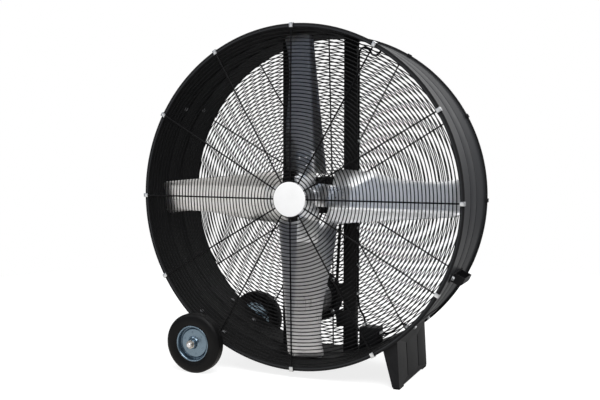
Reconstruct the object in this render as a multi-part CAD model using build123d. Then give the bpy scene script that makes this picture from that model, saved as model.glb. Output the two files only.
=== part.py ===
from build123d import *
import math
import os

# Belt-driven drum fan on two wheels and a foot, in millimetres.
# +X to the right, +Y to the rear, +Z up. Air leaves at the front.
# The origin is on the floor, below the fan's axis, at mid-depth of the drum.

# Drum: a rolled sheet with two pressed beads and a flanged lip at each end
axis_height = 586.0
drum_inner_radius = 548.0
drum_sheet = 2.0
drum_depth = 340.0
drum_sides = 56
lip_radius = drum_inner_radius + 12.0
lip_thickness = 5.0
bead_offset = 43.0
bead_half_width = 5.0
bead_depth = 3.0

# Guards: ring wires welded behind straight radial wires
guard_radials = 12
guard_radial_wire = 5.0
guard_hub_radius = 10.0
inner_rings = 19
inner_ring_sides = 12
inner_ring_first = 37.0
inner_ring_last = drum_inner_radius - 54.0
outer_rings = 3
outer_ring_sides = 24
outer_ring_first = drum_inner_radius - 44.0
outer_ring_last = drum_inner_radius - 3.0
guard_ring_wire = 3.6
guard_wire_end = lip_radius - 3.0
guard_bulge = 12.5
rear_guard_turn = 1.0
weld_gap = 0.06
badge_radius = 56.0
badge_thickness = 3.0
badge_chamfer = 1.2
badge_sides = 24
clip_width = 13.0
clip_reach = 14.0
clip_thickness = 2.0
clip_gap = 0.3

# Rotor: four bent sheet blades bolted to the arms of a spider
blade_count = 4
blade_sheet = 2.5
blade_root = 83.0
blade_tip = 535.0
blade_pitch = 15.0
blade_rake = 5.3
blade_fold = 33.0
blade_fold_angle = 22.0
blade_front_at_root = 94.0
blade_front_at_tip = 47.0
blade_rear_at_root = 98.0
blade_rear_at_middle = 84.0
blade_middle = 241.0
blade_rear_at_waist = 61.0
blade_waist = 400.0
blade_rear_ease = 60.0
blade_rear_at_tip = 76.0
blade_front_corner = 20.0
blade_rear_corner = 28.0
rotor_centre_y = -36.0
arm_thickness = 4.0
arm_front_side = 32.0
arm_rear_side = 42.0
arm_tip = 153.0
arm_root = 28.0
boss_radius = 37.0
boss_front_y = -72.0
boss_rear_y = -16.0
rivet_radius = 5.0
rivet_head = 3.0
rivet_row = 131.0
rivet_pitch = 28.0
rivet_inner = 104.0

# Shaft, bearings and the plates that carry them
shaft_radius = 12.5
shaft_front_y = -78.0
running_gap = 0.05
bearing_boss_radius = 27.0
bearing_boss_length = 8.0
bearing_sides = 16
bearing_flange_length = 104.0
bearing_flange_height = 62.0
bearing_flange_thickness = 8.0
plate_sheet = 4.0
bearing_plate_height = 124.0
shaft_bolt_radius = 9.0
shaft_bolt_height = 6.0

# Rails: two upright channels behind the blades
rail_x = 114.0
rail_width = 43.0
rail_depth = 32.0
rail_sheet = 3.0
rail_front_y = 56.0
seat_gap = 0.3
rail_tab_length = 68.0
rail_tab_bolts = (18.0, 50.0)

# Belt drive
pulley_centre_y = 120.0
pulley_width = 20.0
fan_pulley_pitch = 62.0
motor_pulley_pitch = 42.0
belt_above_pitch = 3.0
belt_height = 8.0
belt_top_width = 13.0
groove_half_angle = 19.0
belt_gap = 0.3
belt_chords = 14
groove_floor_gap = 2.0
pulley_sides = 20
shaft_past_pulley = 4.0

# Motor
motor_drop = drum_inner_radius - 201.0
motor_radius = 68.0
motor_front_y = -5.0
motor_rear_y = 98.0
bell_length = 14.0
bell_face_radius = 57.0
bell_ring_radius = 50.0
bell_ring_width = 6.0
bell_ring_height = 3.0
motor_shaft_radius = 8.0
motor_shaft_in = 20.0
motor_sides = 20
motor_flange_radius = 87.0
motor_flange_thickness = 4.0
motor_fit = 0.3
motor_plate_disc = 91.0
motor_bar_top = 46.0
motor_bar_bottom = -11.0
motor_foot_top = -48.0
motor_foot_bottom = -103.0
motor_arch_half = 68.0
motor_arch_corner = 34.0
motor_stud_circle = 78.5

# Wheels and axle
wheel_radius = 100.0
wheel_plane = 230.0
axle_clearance = 26.33
axle_radius = 8.0
axle_end = 272.0
tyre_inner = 62.0
tyre_bead_half = 19.0
tyre_half = 24.0
tyre_side_radius = 76.0
tyre_shoulder = 93.0
tyre_tread_half = 14.0
rim_flange_radius = 62.0
rim_sheet = 3.0
rim_dish_radius = 54.0
rim_dish_depth = 9.0
rim_boss_radius = 15.0
rim_boss_half = 27.0
wheel_sides = 20
axle_gap = 0.1
axle_nut = 12.5
axle_nut_height = 8.0
washer_radius = 15.0
washer_thickness = 2.5
bracket_ear_outer = 132.0
bracket_sheet = 4.0
bracket_width = 36.0
bracket_from = -135.5
bracket_to = -118.5
bracket_bolts = (-132.5, -121.0)
bracket_eye = 20.0

# Foot: a folded channel with two pressed ribs
foot_half_length = 158.0
foot_sheet = 3.0
foot_web_top_x = 352.0
foot_web_bottom_x = 361.0
foot_inner_top_x = 308.0
foot_inner_bottom_x = 338.0
foot_inner_top_drop = 14.0
foot_bottom_z = 6.0
foot_flange_width = 67.0
foot_bolt_step = 42.0
foot_bolt_y = 80.0
foot_rib_y = (-62.0, 62.0)
foot_rib_width = 7.0
foot_rib_depth = 1.2
foot_rib_low = 24.0
foot_rib_high = 130.0
pad_length = 46.0
pad_inset = 4.0

# Handles: pressed pockets, open at the top
handle_angle_right = -25.7
handle_angle_left = 146.8
handle_half_length = 47.0
handle_ear = 28.0
handle_bolt_y = 60.0
handle_drop = 15.0
handle_rise = 15.0
handle_reach = 38.0
handle_sheet = 2.5
handle_corner = 12.0

# Junction box and leads
box_left = 150.0
box_right = 220.0
box_height = 100.0
box_front_y = 58.0
box_rear_y = 108.0
lid_thickness = 3.0
lid_margin = 2.0
lead_radius = 3.5
lead_sides = 4
lead_y = 72.0
lead_from_rail = 5.0
lead_clip_rises = (-335.0, -237.0, -109.0, 187.0, 413.0)
lead_clip_width = 9.0
lead_clip_wall = 1.6
gland_radius = 9.0
gland_length = 14.0
top_gland_x = 166.0
side_gland_drop = 18.0
upper_grommet_angle = 66.0
lower_grommet_angle = -54.0
lead_straight = 18.0
lead_offset_rise = 52.0
lead_turn_rise = 490.0
lead_loop = ((156.0, 504.0), (178.0, 494.0), (188.0, 472.0))
lower_lead_x = 278.0
lower_lead_rise = 102.0

# Carriage bolts with square necks
neck = 8.0
neck_gap = 0.2
head_radius = 8.5
head_height = 4.0
head_chamfer = 2.4
nut_radius = 8.0
nut_height = 8.0
head_seat = 0.1

drum_outer_flat = drum_inner_radius + drum_sheet
drum_outer_radius = drum_outer_flat / math.cos(math.pi / drum_sides)
drum_floor_z = axis_height - drum_inner_radius
lead_x = rail_x + rail_width / 2 + lead_from_rail
front_y = -drum_depth / 2
rear_y = drum_depth / 2
rail_rear_y = rail_front_y + rail_depth
motor_z = axis_height - motor_drop
wheel_z = wheel_radius
axle_x = -math.sqrt((lip_radius + axle_clearance) ** 2 - (axis_height - wheel_z) ** 2)
foot_inner_top_z = axis_height - math.sqrt(drum_outer_flat ** 2 - foot_inner_top_x ** 2) - foot_inner_top_drop
foot_web_top_z = axis_height - math.sqrt((drum_outer_flat + foot_sheet) ** 2 - foot_web_top_x ** 2)
foot_flange_start = math.degrees(math.atan2(foot_web_top_z - axis_height, foot_web_top_x))
box_top_z = drum_floor_z + box_height
side_gland_z = box_top_z - side_gland_drop
front_plate_y = rail_front_y - plate_sheet
fan_axis = Axis((0, 0, axis_height), (0, 1, 0))


def closed_run(sections):
    """A solid through matching sections that come round to the first again."""
    faces = []
    for here, ahead in zip(sections, sections[1:] + sections[:1]):
        for m in range(len(here)):
            corners = []
            for point in (here[m - 1], here[m], ahead[m], ahead[m - 1]):
                if all((point - other).length > 1e-6 for other in corners):
                    corners.append(point)
            if len(corners) > 2:
                faces.append(Face(Wire.make_polygon(corners, close=True)))
    return Solid(Shell(faces))


def turned(outline, sides, x=0.0, z=axis_height):
    """Carry a closed (radius, y) outline round a line along Y, in flat sides."""
    sections = []
    for k in range(sides):
        turn = 2 * math.pi * k / sides
        sections.append([Vector(x + r * math.cos(turn), y, z + r * math.sin(turn)) for r, y in outline])
    return closed_run(sections)


def bore(radius, sides):
    """The corner radius of a many-sided hole that clears a round shaft."""
    return radius / math.cos(math.pi / sides)


def prism(corner_radius, sides, y_from, y_to, x=0.0, z=axis_height):
    plane = Plane(origin=(x, y_from, z), z_dir=(0, 1, 0))
    return extrude(plane * RegularPolygon(corner_radius, sides), y_to - y_from)


def shaft_hole(radius, y_from, y_to, z=axis_height, sides=bearing_sides):
    return prism(bore(radius, sides), sides, y_from, y_to, 0, z)


def drum_prism(flat_radius, y_from, y_to):
    """A bar with the drum's own flats, at a distance from its axis."""
    return prism(bore(flat_radius, drum_sides), drum_sides, y_from, y_to)


def slab(x_from, x_to, y_from, y_to, z_from, z_to):
    middle = Pos((x_from + x_to) / 2, (y_from + y_to) / 2, (z_from + z_to) / 2)
    return middle * Box(x_to - x_from, y_to - y_from, z_to - z_from)


def around_axis(shape, degrees):
    return shape.rotate(fan_axis, degrees)


def drum_point(angle, y, radius):
    a = math.radians(angle)
    return (radius * math.cos(a), y, axis_height + radius * math.sin(a))


def drum_plane(angle, y, radius):
    """A plane square to the drum's radius, with Z outward and X to the rear."""
    a = math.radians(angle)
    outward = (math.cos(a), 0, math.sin(a))
    return Plane(origin=drum_point(angle, y, radius), x_dir=(0, 1, 0), z_dir=outward)


def drum_arc(angle_from, angle_to, sheet, y_from, y_to):
    """A strip of sheet that lies on the drum's flats between two angles."""
    corners = [(0, y_from, axis_height)]
    corners += [drum_point(a, y_from, 1.2 * lip_radius) for a in (angle_from, angle_to)]
    wedge = extrude(Face(Wire.make_polygon(corners, close=True)), y_to - y_from, dir=(0, 1, 0))
    strip = drum_prism(drum_outer_flat + sheet, y_from, y_to)
    return wedge & (strip - drum_prism(drum_outer_flat + weld_gap, y_from, y_to))


def eased(corners, cuts, steps=3):
    """A flat outline whose corners are cut back and rounded in a few chords."""
    points = []
    for k, cut in enumerate(cuts):
        corner = Vector(*corners[k])
        ahead = Vector(*corners[(k + 1) % len(corners)])
        start = corner + (Vector(*corners[k - 1]) - corner).normalized() * cut
        end = corner + (ahead - corner).normalized() * cut
        for m in range(steps + 1 if cut else 1):
            t = m / steps
            points.append(start * (1 - t) ** 2 + corner * (2 * t * (1 - t)) + end * t ** 2)
    return Face(Wire.make_polygon(points, close=True))


def carriage_bolt(plane, grip):
    """A domed head below the plane, a square neck through the grip and a nut above it."""
    head = extrude(plane * RegularPolygon(head_radius, 6), -head_height)
    outer_face = min(head.faces(), key=lambda f: plane.to_local_coords(f.center()).Z)
    head = chamfer(outer_face.edges(), head_chamfer)
    shank = extrude(plane * Rectangle(neck, neck), grip + nut_height)
    nut = extrude(plane.offset(grip) * RegularPolygon(nut_radius, 6), nut_height)
    return head + shank + nut


def bolt_hole(plane, reach):
    side = neck + 2 * neck_gap
    return extrude(plane * Rectangle(side, side), reach, both=True)


def bolt_stations():
    """Each drum bolt as (angle, y, what it clamps inside, what it clamps outside)."""
    rail_angle = math.degrees(math.acos(rail_x / drum_inner_radius))
    stations = []
    for angle in (rail_angle, 180 - rail_angle, 180 + rail_angle, -rail_angle):
        for step in rail_tab_bolts:
            stations.append((angle, rail_rear_y + step, rail_sheet + seat_gap, 0.0))
    for angle, y in bracket_bolt_points():
        stations.append((angle, y, 0.0, bracket_sheet))
    for y in (-foot_bolt_y, foot_bolt_y):
        stations.append((foot_angle(foot_bolt_step), y, 0.0, foot_sheet))
    for angle in (handle_angle_right, handle_angle_left):
        for y in (-handle_bolt_y, handle_bolt_y):
            stations.append((angle, y, 0.0, handle_sheet))
    return stations


def drum_bolts():
    bolts = []
    for angle, y, inside, outside in bolt_stations():
        seat = drum_inner_radius - inside - head_seat
        grip = drum_outer_radius + outside - seat
        bolts.append(carriage_bolt(drum_plane(angle, y, seat), grip))
    return bolts


def drum_holes():
    reach = 4 * drum_sheet
    return [
        bolt_hole(drum_plane(angle, y, drum_outer_radius), reach)
        for angle, y, _, _ in bolt_stations()
    ]


def drum_shell():
    inner, outer, rim = drum_inner_radius, drum_outer_radius, lip_radius
    beads = (-bead_offset, bead_offset)

    def wall(radius):
        points = []
        for y in beads:
            points.append((radius, y - bead_half_width))
            points.append((radius - bead_depth, y))
            points.append((radius, y + bead_half_width))
        return points

    inner = bore(inner, drum_sides)
    outline = [(inner, front_y)] + wall(inner) + [(inner, rear_y)]
    outline += [(rim, rear_y), (rim, rear_y - lip_thickness), (outer, rear_y - lip_thickness)]
    outline += wall(outer)[::-1]
    outline += [(outer, front_y + lip_thickness), (rim, front_y + lip_thickness), (rim, front_y)]
    return turned(outline, drum_sides) - drum_holes()


def radial_wire_back(radius):
    """The y of a radial wire's back at a radius, from the lip plane outward."""
    span = guard_wire_end - guard_hub_radius
    return -guard_bulge * (guard_wire_end - radius) / span


def guard_ring(radius, sides):
    """A ring wire, flat against the radials, three-sided and in straight chords."""
    near = radial_wire_back(radius) + weld_gap
    half = guard_ring_wire / 2
    section = ((radius - half, near), (radius + half, near), (radius, near + guard_ring_wire))
    return turned(section, sides, 0, 0)


def ring_run(count, first, last, sides):
    step = (last - first) / (count - 1)
    return [guard_ring(first + step * k, sides) for k in range(count)]


def guard():
    """A guard about the Y axis with its lip plane at y = 0 and its centre towards -Y."""
    wires = [guard_ring(guard_hub_radius + guard_ring_wire, inner_ring_sides)]
    wires += ring_run(inner_rings, inner_ring_first, inner_ring_last, inner_ring_sides)
    wires += ring_run(outer_rings, outer_ring_first, outer_ring_last, outer_ring_sides)
    inner = radial_wire_back(guard_hub_radius)
    outer = radial_wire_back(guard_wire_end)
    side = [(guard_hub_radius, inner, 0), (guard_wire_end, outer, 0),
            (guard_wire_end, outer - guard_radial_wire, 0),
            (guard_hub_radius, inner - guard_radial_wire, 0)]
    blank = extrude(Face(Wire.make_polygon(side, close=True)), guard_radial_wire / 2,
                    dir=(0, 0, 1), both=True)
    for k in range(guard_radials):
        wires.append(blank.rotate(Axis.Y, 360 / guard_radials * k).solid())
    return Compound(children=wires)


def front_guard():
    return Pos(0, front_y, axis_height) * guard()


def rear_guard():
    reversed_guard = guard().rotate(Axis.Z, 180).rotate(Axis.Y, -rear_guard_turn)
    return Pos(0, rear_y, axis_height) * reversed_guard


def guard_clips(y_lip, outward, turn):
    """Bent clips that hold the ends of the radials to the lip."""
    rim = lip_radius + clip_gap
    inner = rim - clip_reach
    top = -radial_wire_back(inner) + guard_radial_wire + weld_gap
    behind = -lip_thickness - clip_gap
    t = clip_thickness
    outline = [(inner, top), (rim, top), (rim, behind), (rim - clip_reach / 2, behind),
               (rim - clip_reach / 2, behind - t), (rim + t, behind - t), (rim + t, top + t),
               (inner, top + t)]
    points = [(r, y_lip + outward * y, axis_height) for r, y in outline]
    blank = extrude(Face(Wire.make_polygon(points, close=True)), clip_width / 2,
                    dir=(0, 0, 1), both=True)
    step = 360 / guard_radials
    return [around_axis(blank, -(turn + step * k)) for k in range(guard_radials)]


def badge():
    """A plain disc that lies on the middle of the front guard."""
    back = front_y + radial_wire_back(guard_hub_radius) - guard_radial_wire
    face = back - badge_thickness
    outline = [(0, back), (badge_radius, back), (badge_radius, face + badge_chamfer),
               (badge_radius - badge_chamfer, face), (0, face)]
    return turned(outline, badge_sides)


def blade_frame():
    """The first blade's own frame: X to its front edge, Y outward along it, Z to the front."""
    pitch, rake = math.radians(blade_pitch), math.radians(blade_rake)
    across = Vector(math.cos(pitch), -math.sin(pitch), 0)
    out = Vector(0, -math.sin(rake), math.cos(rake))
    normal = across.cross(out).normalized()
    origin = (0, rotor_centre_y, axis_height)
    return Plane(origin=origin, x_dir=out.cross(normal), z_dir=normal).location


def blade_section():
    half = blade_sheet / 2
    reach = 1.2 * blade_rear_at_root
    fold = math.radians(blade_fold_angle)
    strip = 1.3 * (blade_front_at_root - blade_fold)
    inner = blade_fold - blade_sheet * math.tan(fold / 2)
    lift = Vector(strip * math.cos(fold), strip * math.sin(fold))
    skin = Vector(-blade_sheet * math.sin(fold), blade_sheet * math.cos(fold))
    under = Vector(blade_fold, -half)
    points = [Vector(-reach, -half), under, under + lift, under + lift + skin,
              Vector(inner, half), Vector(-reach, half)]
    return [(p.X, blade_root, p.Y) for p in points]


def blade_outline():
    """The blade seen square to its flat part, with rounded tip corners."""
    corners = [(-blade_rear_at_root, blade_root), (-blade_rear_at_middle, blade_middle),
               (-blade_rear_at_waist, blade_waist), (-blade_rear_at_tip, blade_tip),
               (blade_front_at_tip, blade_tip), (blade_front_at_root, blade_root)]
    ease = blade_rear_ease
    return eased(corners, [0, ease, ease, blade_rear_corner, blade_front_corner, 0])


def blade():
    section = Face(Wire.make_polygon(blade_section(), close=True))
    sheet = extrude(section, blade_tip - blade_root, dir=(0, 1, 0))
    return sheet & extrude(blade_outline(), blade_front_at_root, both=True)


def rivet_points():
    row = [(x, rivet_row) for x in (-rivet_pitch, 0.0, rivet_pitch)]
    return row + [(0.0, rivet_inner)]


def rivets():
    """Rivet heads on the front of each spider arm."""
    seat = blade_sheet / 2 + arm_thickness
    heads = []
    for k in range(blade_count):
        for x, y in rivet_points():
            head = Pos(x, y, seat) * extrude(RegularPolygon(rivet_radius, 6), rivet_head, taper=25)
            heads.append(around_axis(blade_frame() * head, 360 / blade_count * k))
    return heads


def spider():
    low = blade_sheet / 2
    outline = Polyline((-arm_rear_side, arm_root), (arm_front_side, arm_root),
                       (arm_front_side, arm_tip), (-arm_rear_side, arm_tip), close=True)
    arm = Pos(0, 0, low) * extrude(make_face(outline), arm_thickness)
    hole = bore(shaft_radius, pulley_sides)
    body = turned([(hole, boss_front_y), (boss_radius, boss_front_y),
                   (boss_radius, boss_rear_y), (hole, boss_rear_y)], pulley_sides)
    for k in range(blade_count):
        body += around_axis(blade_frame() * arm, 360 / blade_count * k)
    return body


def fan_shaft():
    end = pulley_centre_y + pulley_width / 2 + shaft_past_pulley
    return prism(shaft_radius, pulley_sides, shaft_front_y, end)


def shaft_bolt():
    plane = Plane(origin=(0, shaft_front_y, axis_height), z_dir=(0, -1, 0))
    return extrude(plane * RegularPolygon(shaft_bolt_radius, 6), shaft_bolt_height)


def bearing(y_seat, outward):
    """A two-bolt flange bearing whose flange lies on a plate at y_seat."""
    face = y_seat + outward * bearing_flange_thickness
    nose = face + outward * bearing_boss_length
    plane = Plane(origin=(0, y_seat, axis_height), z_dir=(0, outward, 0), x_dir=(1, 0, 0))
    half, tall = bearing_flange_length / 2, bearing_flange_height / 2
    waist = half - 14
    outline = Polyline((-half, -12), (-waist / 2, -tall), (waist / 2, -tall), (half, -12),
                       (half, 12), (waist / 2, tall), (-waist / 2, tall), (-half, 12), close=True)
    flange = extrude(plane * make_face(outline), bearing_flange_thickness)
    hole = bore(shaft_radius + running_gap, bearing_sides)
    boss = turned([(hole, face), (bearing_boss_radius, face), (bearing_boss_radius, nose),
                   (hole, nose)], bearing_sides)
    opening = extrude(plane * RegularPolygon(hole, bearing_sides), bearing_flange_thickness)
    return boss + (flange - opening)


def bearing_plate(y_front):
    half = bearing_plate_height / 2
    side = rail_x + rail_width / 2
    plate = slab(-side, side, y_front, y_front + plate_sheet,
                 axis_height - half, axis_height + half)
    return plate - shaft_hole(shaft_radius + 2, y_front - 1, y_front + plate_sheet + 1)


def rail(side):
    """An upright channel, open to the rear, with a bolted tab at each end."""
    x = side * rail_x
    half = rail_width / 2
    reach = drum_inner_radius
    outer = slab(x - half, x + half, rail_front_y, rail_rear_y,
                 axis_height - reach, axis_height + reach)
    inside = slab(x - half + rail_sheet, x + half - rail_sheet, rail_front_y + rail_sheet,
                  rail_rear_y + 1, axis_height - reach, axis_height + reach)
    body = outer - inside
    tilt = math.degrees(math.acos(rail_x / drum_inner_radius))
    for angle in (tilt, -tilt):
        at = angle if side > 0 else 180 - angle
        plane = drum_plane(at, rail_rear_y - 6, drum_inner_radius - seat_gap)
        length = rail_tab_length + 6
        body += extrude(plane * Pos(length / 2, 0) * Rectangle(length, rail_width), -rail_sheet)
    body &= drum_prism(drum_inner_radius - seat_gap, rail_front_y, rail_rear_y + rail_tab_length)
    for angle, y, inside_grip, _ in bolt_stations():
        if inside_grip:
            body -= bolt_hole(drum_plane(angle, y, drum_inner_radius), 4 * rail_sheet)
    return body


def belt_section_at(radius, grow=0.0):
    """Half widths of the belt, or of its groove, from the pitch radius outward."""
    slope = math.tan(math.radians(groove_half_angle))
    return belt_top_width / 2 + (radius - belt_above_pitch) * slope + grow


def pulley(pitch, shaft, x, z):
    """A V pulley whose groove leaves the belt a small gap."""
    rim = pitch + belt_above_pitch
    floor = pitch + belt_above_pitch - belt_height - groove_floor_gap
    top = belt_section_at(belt_above_pitch, belt_gap)
    low = belt_section_at(floor - pitch, belt_gap)
    half = pulley_width / 2
    y = pulley_centre_y
    hole = bore(shaft, pulley_sides)
    outline = [(hole, y - half), (rim, y - half), (rim, y - top), (floor, y - low),
               (floor, y + low), (rim, y + top), (rim, y + half), (hole, y + half)]
    return turned(outline, pulley_sides, x, z)


def fan_pulley():
    return pulley(fan_pulley_pitch, shaft_radius, 0, axis_height)


def motor_pulley():
    return pulley(motor_pulley_pitch, motor_shaft_radius, 0, motor_z)


def belt():
    """A V belt in flat chords round both pulleys, with its two straight runs."""
    lean = math.asin((fan_pulley_pitch - motor_pulley_pitch) / motor_drop)
    above, below = belt_above_pitch, belt_above_pitch - belt_height
    corners = ((above, -belt_section_at(above)), (above, belt_section_at(above)),
               (below, belt_section_at(below)), (below, -belt_section_at(below)))
    sections = []
    for pitch, z, start, sweep_angle in (
        (fan_pulley_pitch, axis_height, -lean, math.pi + 2 * lean),
        (motor_pulley_pitch, motor_z, math.pi + lean, math.pi - 2 * lean),
    ):
        for k in range(belt_chords + 1):
            a = start + sweep_angle * k / belt_chords
            sections.append([
                Vector((pitch + h) * math.cos(a), pulley_centre_y + w, z + (pitch + h) * math.sin(a))
                for h, w in corners
            ])
    return closed_run(sections)


def motor_body():
    """The stator housing with its mounting flange and the shaft's bore at its rear."""
    front, rear = motor_front_y + bell_length, motor_rear_y - bell_length
    seat = rail_front_y
    outline = [(0, front), (motor_radius, front), (motor_radius, seat),
               (motor_flange_radius, seat), (motor_flange_radius, seat + motor_flange_thickness),
               (motor_radius, seat + motor_flange_thickness), (motor_radius, rear), (0, rear)]
    seat_hole = shaft_hole(motor_shaft_radius + motor_fit, rear - motor_shaft_in, rear + 1, motor_z)
    studs = [bolt_hole(stud, 4 * motor_flange_thickness) for stud in motor_studs()]
    return turned(outline, motor_sides, 0, motor_z) - seat_hole - studs


def motor_front_bell():
    back, face = motor_front_y + bell_length, motor_front_y
    ring = bell_ring_radius
    outline = [(0, back), (motor_radius, back), (bell_face_radius, face),
               (ring + bell_ring_width, face), (ring + bell_ring_width, face - bell_ring_height),
               (ring, face - bell_ring_height), (ring, face), (0, face)]
    return turned(outline, motor_sides, 0, motor_z)


def motor_rear_bell():
    back, face = motor_rear_y - bell_length, motor_rear_y
    hole = bore(motor_shaft_radius + running_gap, motor_sides)
    outline = [(hole, back), (motor_radius, back), (bell_face_radius, face), (hole, face)]
    return turned(outline, motor_sides, 0, motor_z)


def motor_shaft():
    end = pulley_centre_y + pulley_width / 2 + shaft_past_pulley
    start = motor_rear_y - bell_length - motor_shaft_in + motor_fit
    return prism(motor_shaft_radius, motor_sides, start, end, z=motor_z)


def motor_studs():
    planes = []
    for angle in (45, 135, 225, 315):
        a = math.radians(angle)
        at = (motor_stud_circle * math.cos(a), front_plate_y, motor_z + motor_stud_circle * math.sin(a))
        planes.append(Plane(origin=at, x_dir=(1, 0, 0), z_dir=(0, 1, 0)))
    return planes


def motor_bolts():
    grip = plate_sheet + motor_flange_thickness
    return [carriage_bolt(plane, grip) for plane in motor_studs()]


def motor_plate():
    """A plate between the rails that holds the motor by its flange, arched below it."""
    side, foot_height = rail_x + rail_width / 2, motor_foot_top - motor_foot_bottom
    y, back = front_plate_y, rail_front_y
    plate = slab(-side, side, y, back, motor_z + motor_bar_bottom, motor_z + motor_bar_top)
    plate += slab(-side, side, y, back, motor_z + motor_foot_bottom, motor_z + motor_foot_top)
    half, corner = motor_arch_half, motor_arch_corner
    arch = eased([(-half, -foot_height), (half, -foot_height), (half, foot_height), (-half, foot_height)],
                 [0, 0, corner, corner])
    plane = Plane(origin=(0, y, motor_z + motor_foot_bottom), x_dir=(-1, 0, 0), z_dir=(0, 1, 0))
    plate -= extrude(plane * arch, 2 * plate_sheet, both=True)
    plate += prism(motor_plate_disc, motor_sides, y, back, z=motor_z)
    plate -= shaft_hole(motor_radius + motor_fit, y - 1, back + 1, motor_z, motor_sides)
    return plate - [bolt_hole(stud, 2 * plate_sheet) for stud in motor_studs()]


def tyre(y):
    half = tyre_half
    right = [(tyre_inner, tyre_bead_half), (tyre_side_radius, half),
             (tyre_shoulder, half - 3), (wheel_radius, tyre_tread_half)]
    left = [(r, -w) for r, w in right[::-1]]
    return turned([(r, y + w) for r, w in right + left], wheel_sides, axle_x, wheel_z)


def rim(y):
    """A pressed rim: a seat for the tyre, a dished web and a long boss."""
    seat, bead, sheet = rim_flange_radius, tyre_bead_half, rim_sheet
    web, dish = rim_dish_radius, rim_dish_depth
    boss, hub = rim_boss_radius, rim_boss_half
    hole = bore(axle_radius + axle_gap, wheel_sides)
    outline = [(hole, hub), (boss, hub), (boss, dish), (web, dish), (seat - sheet, bead),
               (seat, bead), (seat, -bead), (seat - sheet, -bead), (web, dish - 2 * sheet),
               (boss, dish - 2 * sheet), (boss, -hub), (hole, -hub)]
    sign = 1 if y > 0 else -1
    return turned([(r, y + sign * w) for r, w in outline], wheel_sides, axle_x, wheel_z)


def axle():
    return prism(axle_radius, wheel_sides, -axle_end, axle_end, axle_x, wheel_z)


def axle_collar(y, outward, corner_radius, sides, thickness):
    """A flat-sided ring on the axle, from y outward."""
    plane = Plane(origin=(axle_x, y, wheel_z), z_dir=(0, outward, 0))
    hole = RegularPolygon(bore(axle_radius, sides), sides)
    return extrude(plane * (RegularPolygon(corner_radius, sides) - hole), thickness)


def wheel_stop(outward_of_wheel):
    """How far from the fan's mid-depth a washer beside a wheel starts."""
    return wheel_plane + outward_of_wheel * (rim_boss_half + motor_fit)


def axle_washers():
    """A washer on each side of each wheel, a running gap clear of the hub."""
    rings = []
    for side in (-1, 1):
        for step in (-1, 1):
            rings.append(axle_collar(side * wheel_stop(step), side * step, washer_radius, 6,
                                     washer_thickness))
    return rings


def axle_nuts():
    """Outer nuts on the axle's ends, and inner ones beside its brackets."""
    nuts = []
    for side in (-1, 1):
        for y in (wheel_stop(1) + washer_thickness, bracket_ear_outer):
            nuts.append(axle_collar(side * y, side, axle_nut, 6, axle_nut_height))
    return nuts


def axle_bracket(side):
    """A curved saddle on the drum, with an ear at one edge that holds the axle."""
    near, far = side * (bracket_ear_outer - bracket_width), side * bracket_ear_outer
    low, high = min(near, far), max(near, far)
    outer = drum_outer_radius + bracket_sheet
    saddle = drum_arc(bracket_from, bracket_to, bracket_sheet, low, high)
    ear_near = side * (bracket_ear_outer - bracket_sheet)
    angle = math.degrees(math.atan2(wheel_z - axis_height, axle_x))
    reach = math.hypot(axle_x, wheel_z - axis_height)
    spread = math.degrees(bracket_eye / reach)
    foot_line = [drum_point(a, ear_near, outer - 1) for a in (bracket_from + 3, bracket_to - 3)]
    eye_line = [drum_point(angle + s * spread, ear_near, reach) for s in (1, -1)]
    ear = extrude(Face(Wire.make_polygon(foot_line + eye_line, close=True)), bracket_sheet,
                  dir=(0, side, 0))
    ear += axle_collar(ear_near, side, bracket_eye, 12, bracket_sheet)
    hole = bore(axle_radius, wheel_sides)
    body = saddle + ear - prism(hole, wheel_sides, low, high, axle_x, wheel_z)
    body -= drum_prism(drum_outer_flat + weld_gap, low, high)
    for angle, y in bracket_bolt_points():
        if y * side > 0:
            body -= bolt_hole(drum_plane(angle, y, outer), 3 * bracket_sheet)
    return body


def bracket_bolt_points():
    middle = bracket_ear_outer - (bracket_width + bracket_sheet) / 2
    return [(angle, side * middle) for angle in bracket_bolts for side in (-1, 1)]


def foot_angle(step):
    """The angle of a place on the foot's flange, a step round the drum from the web."""
    return foot_flange_start + math.degrees(step / drum_outer_flat)


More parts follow.
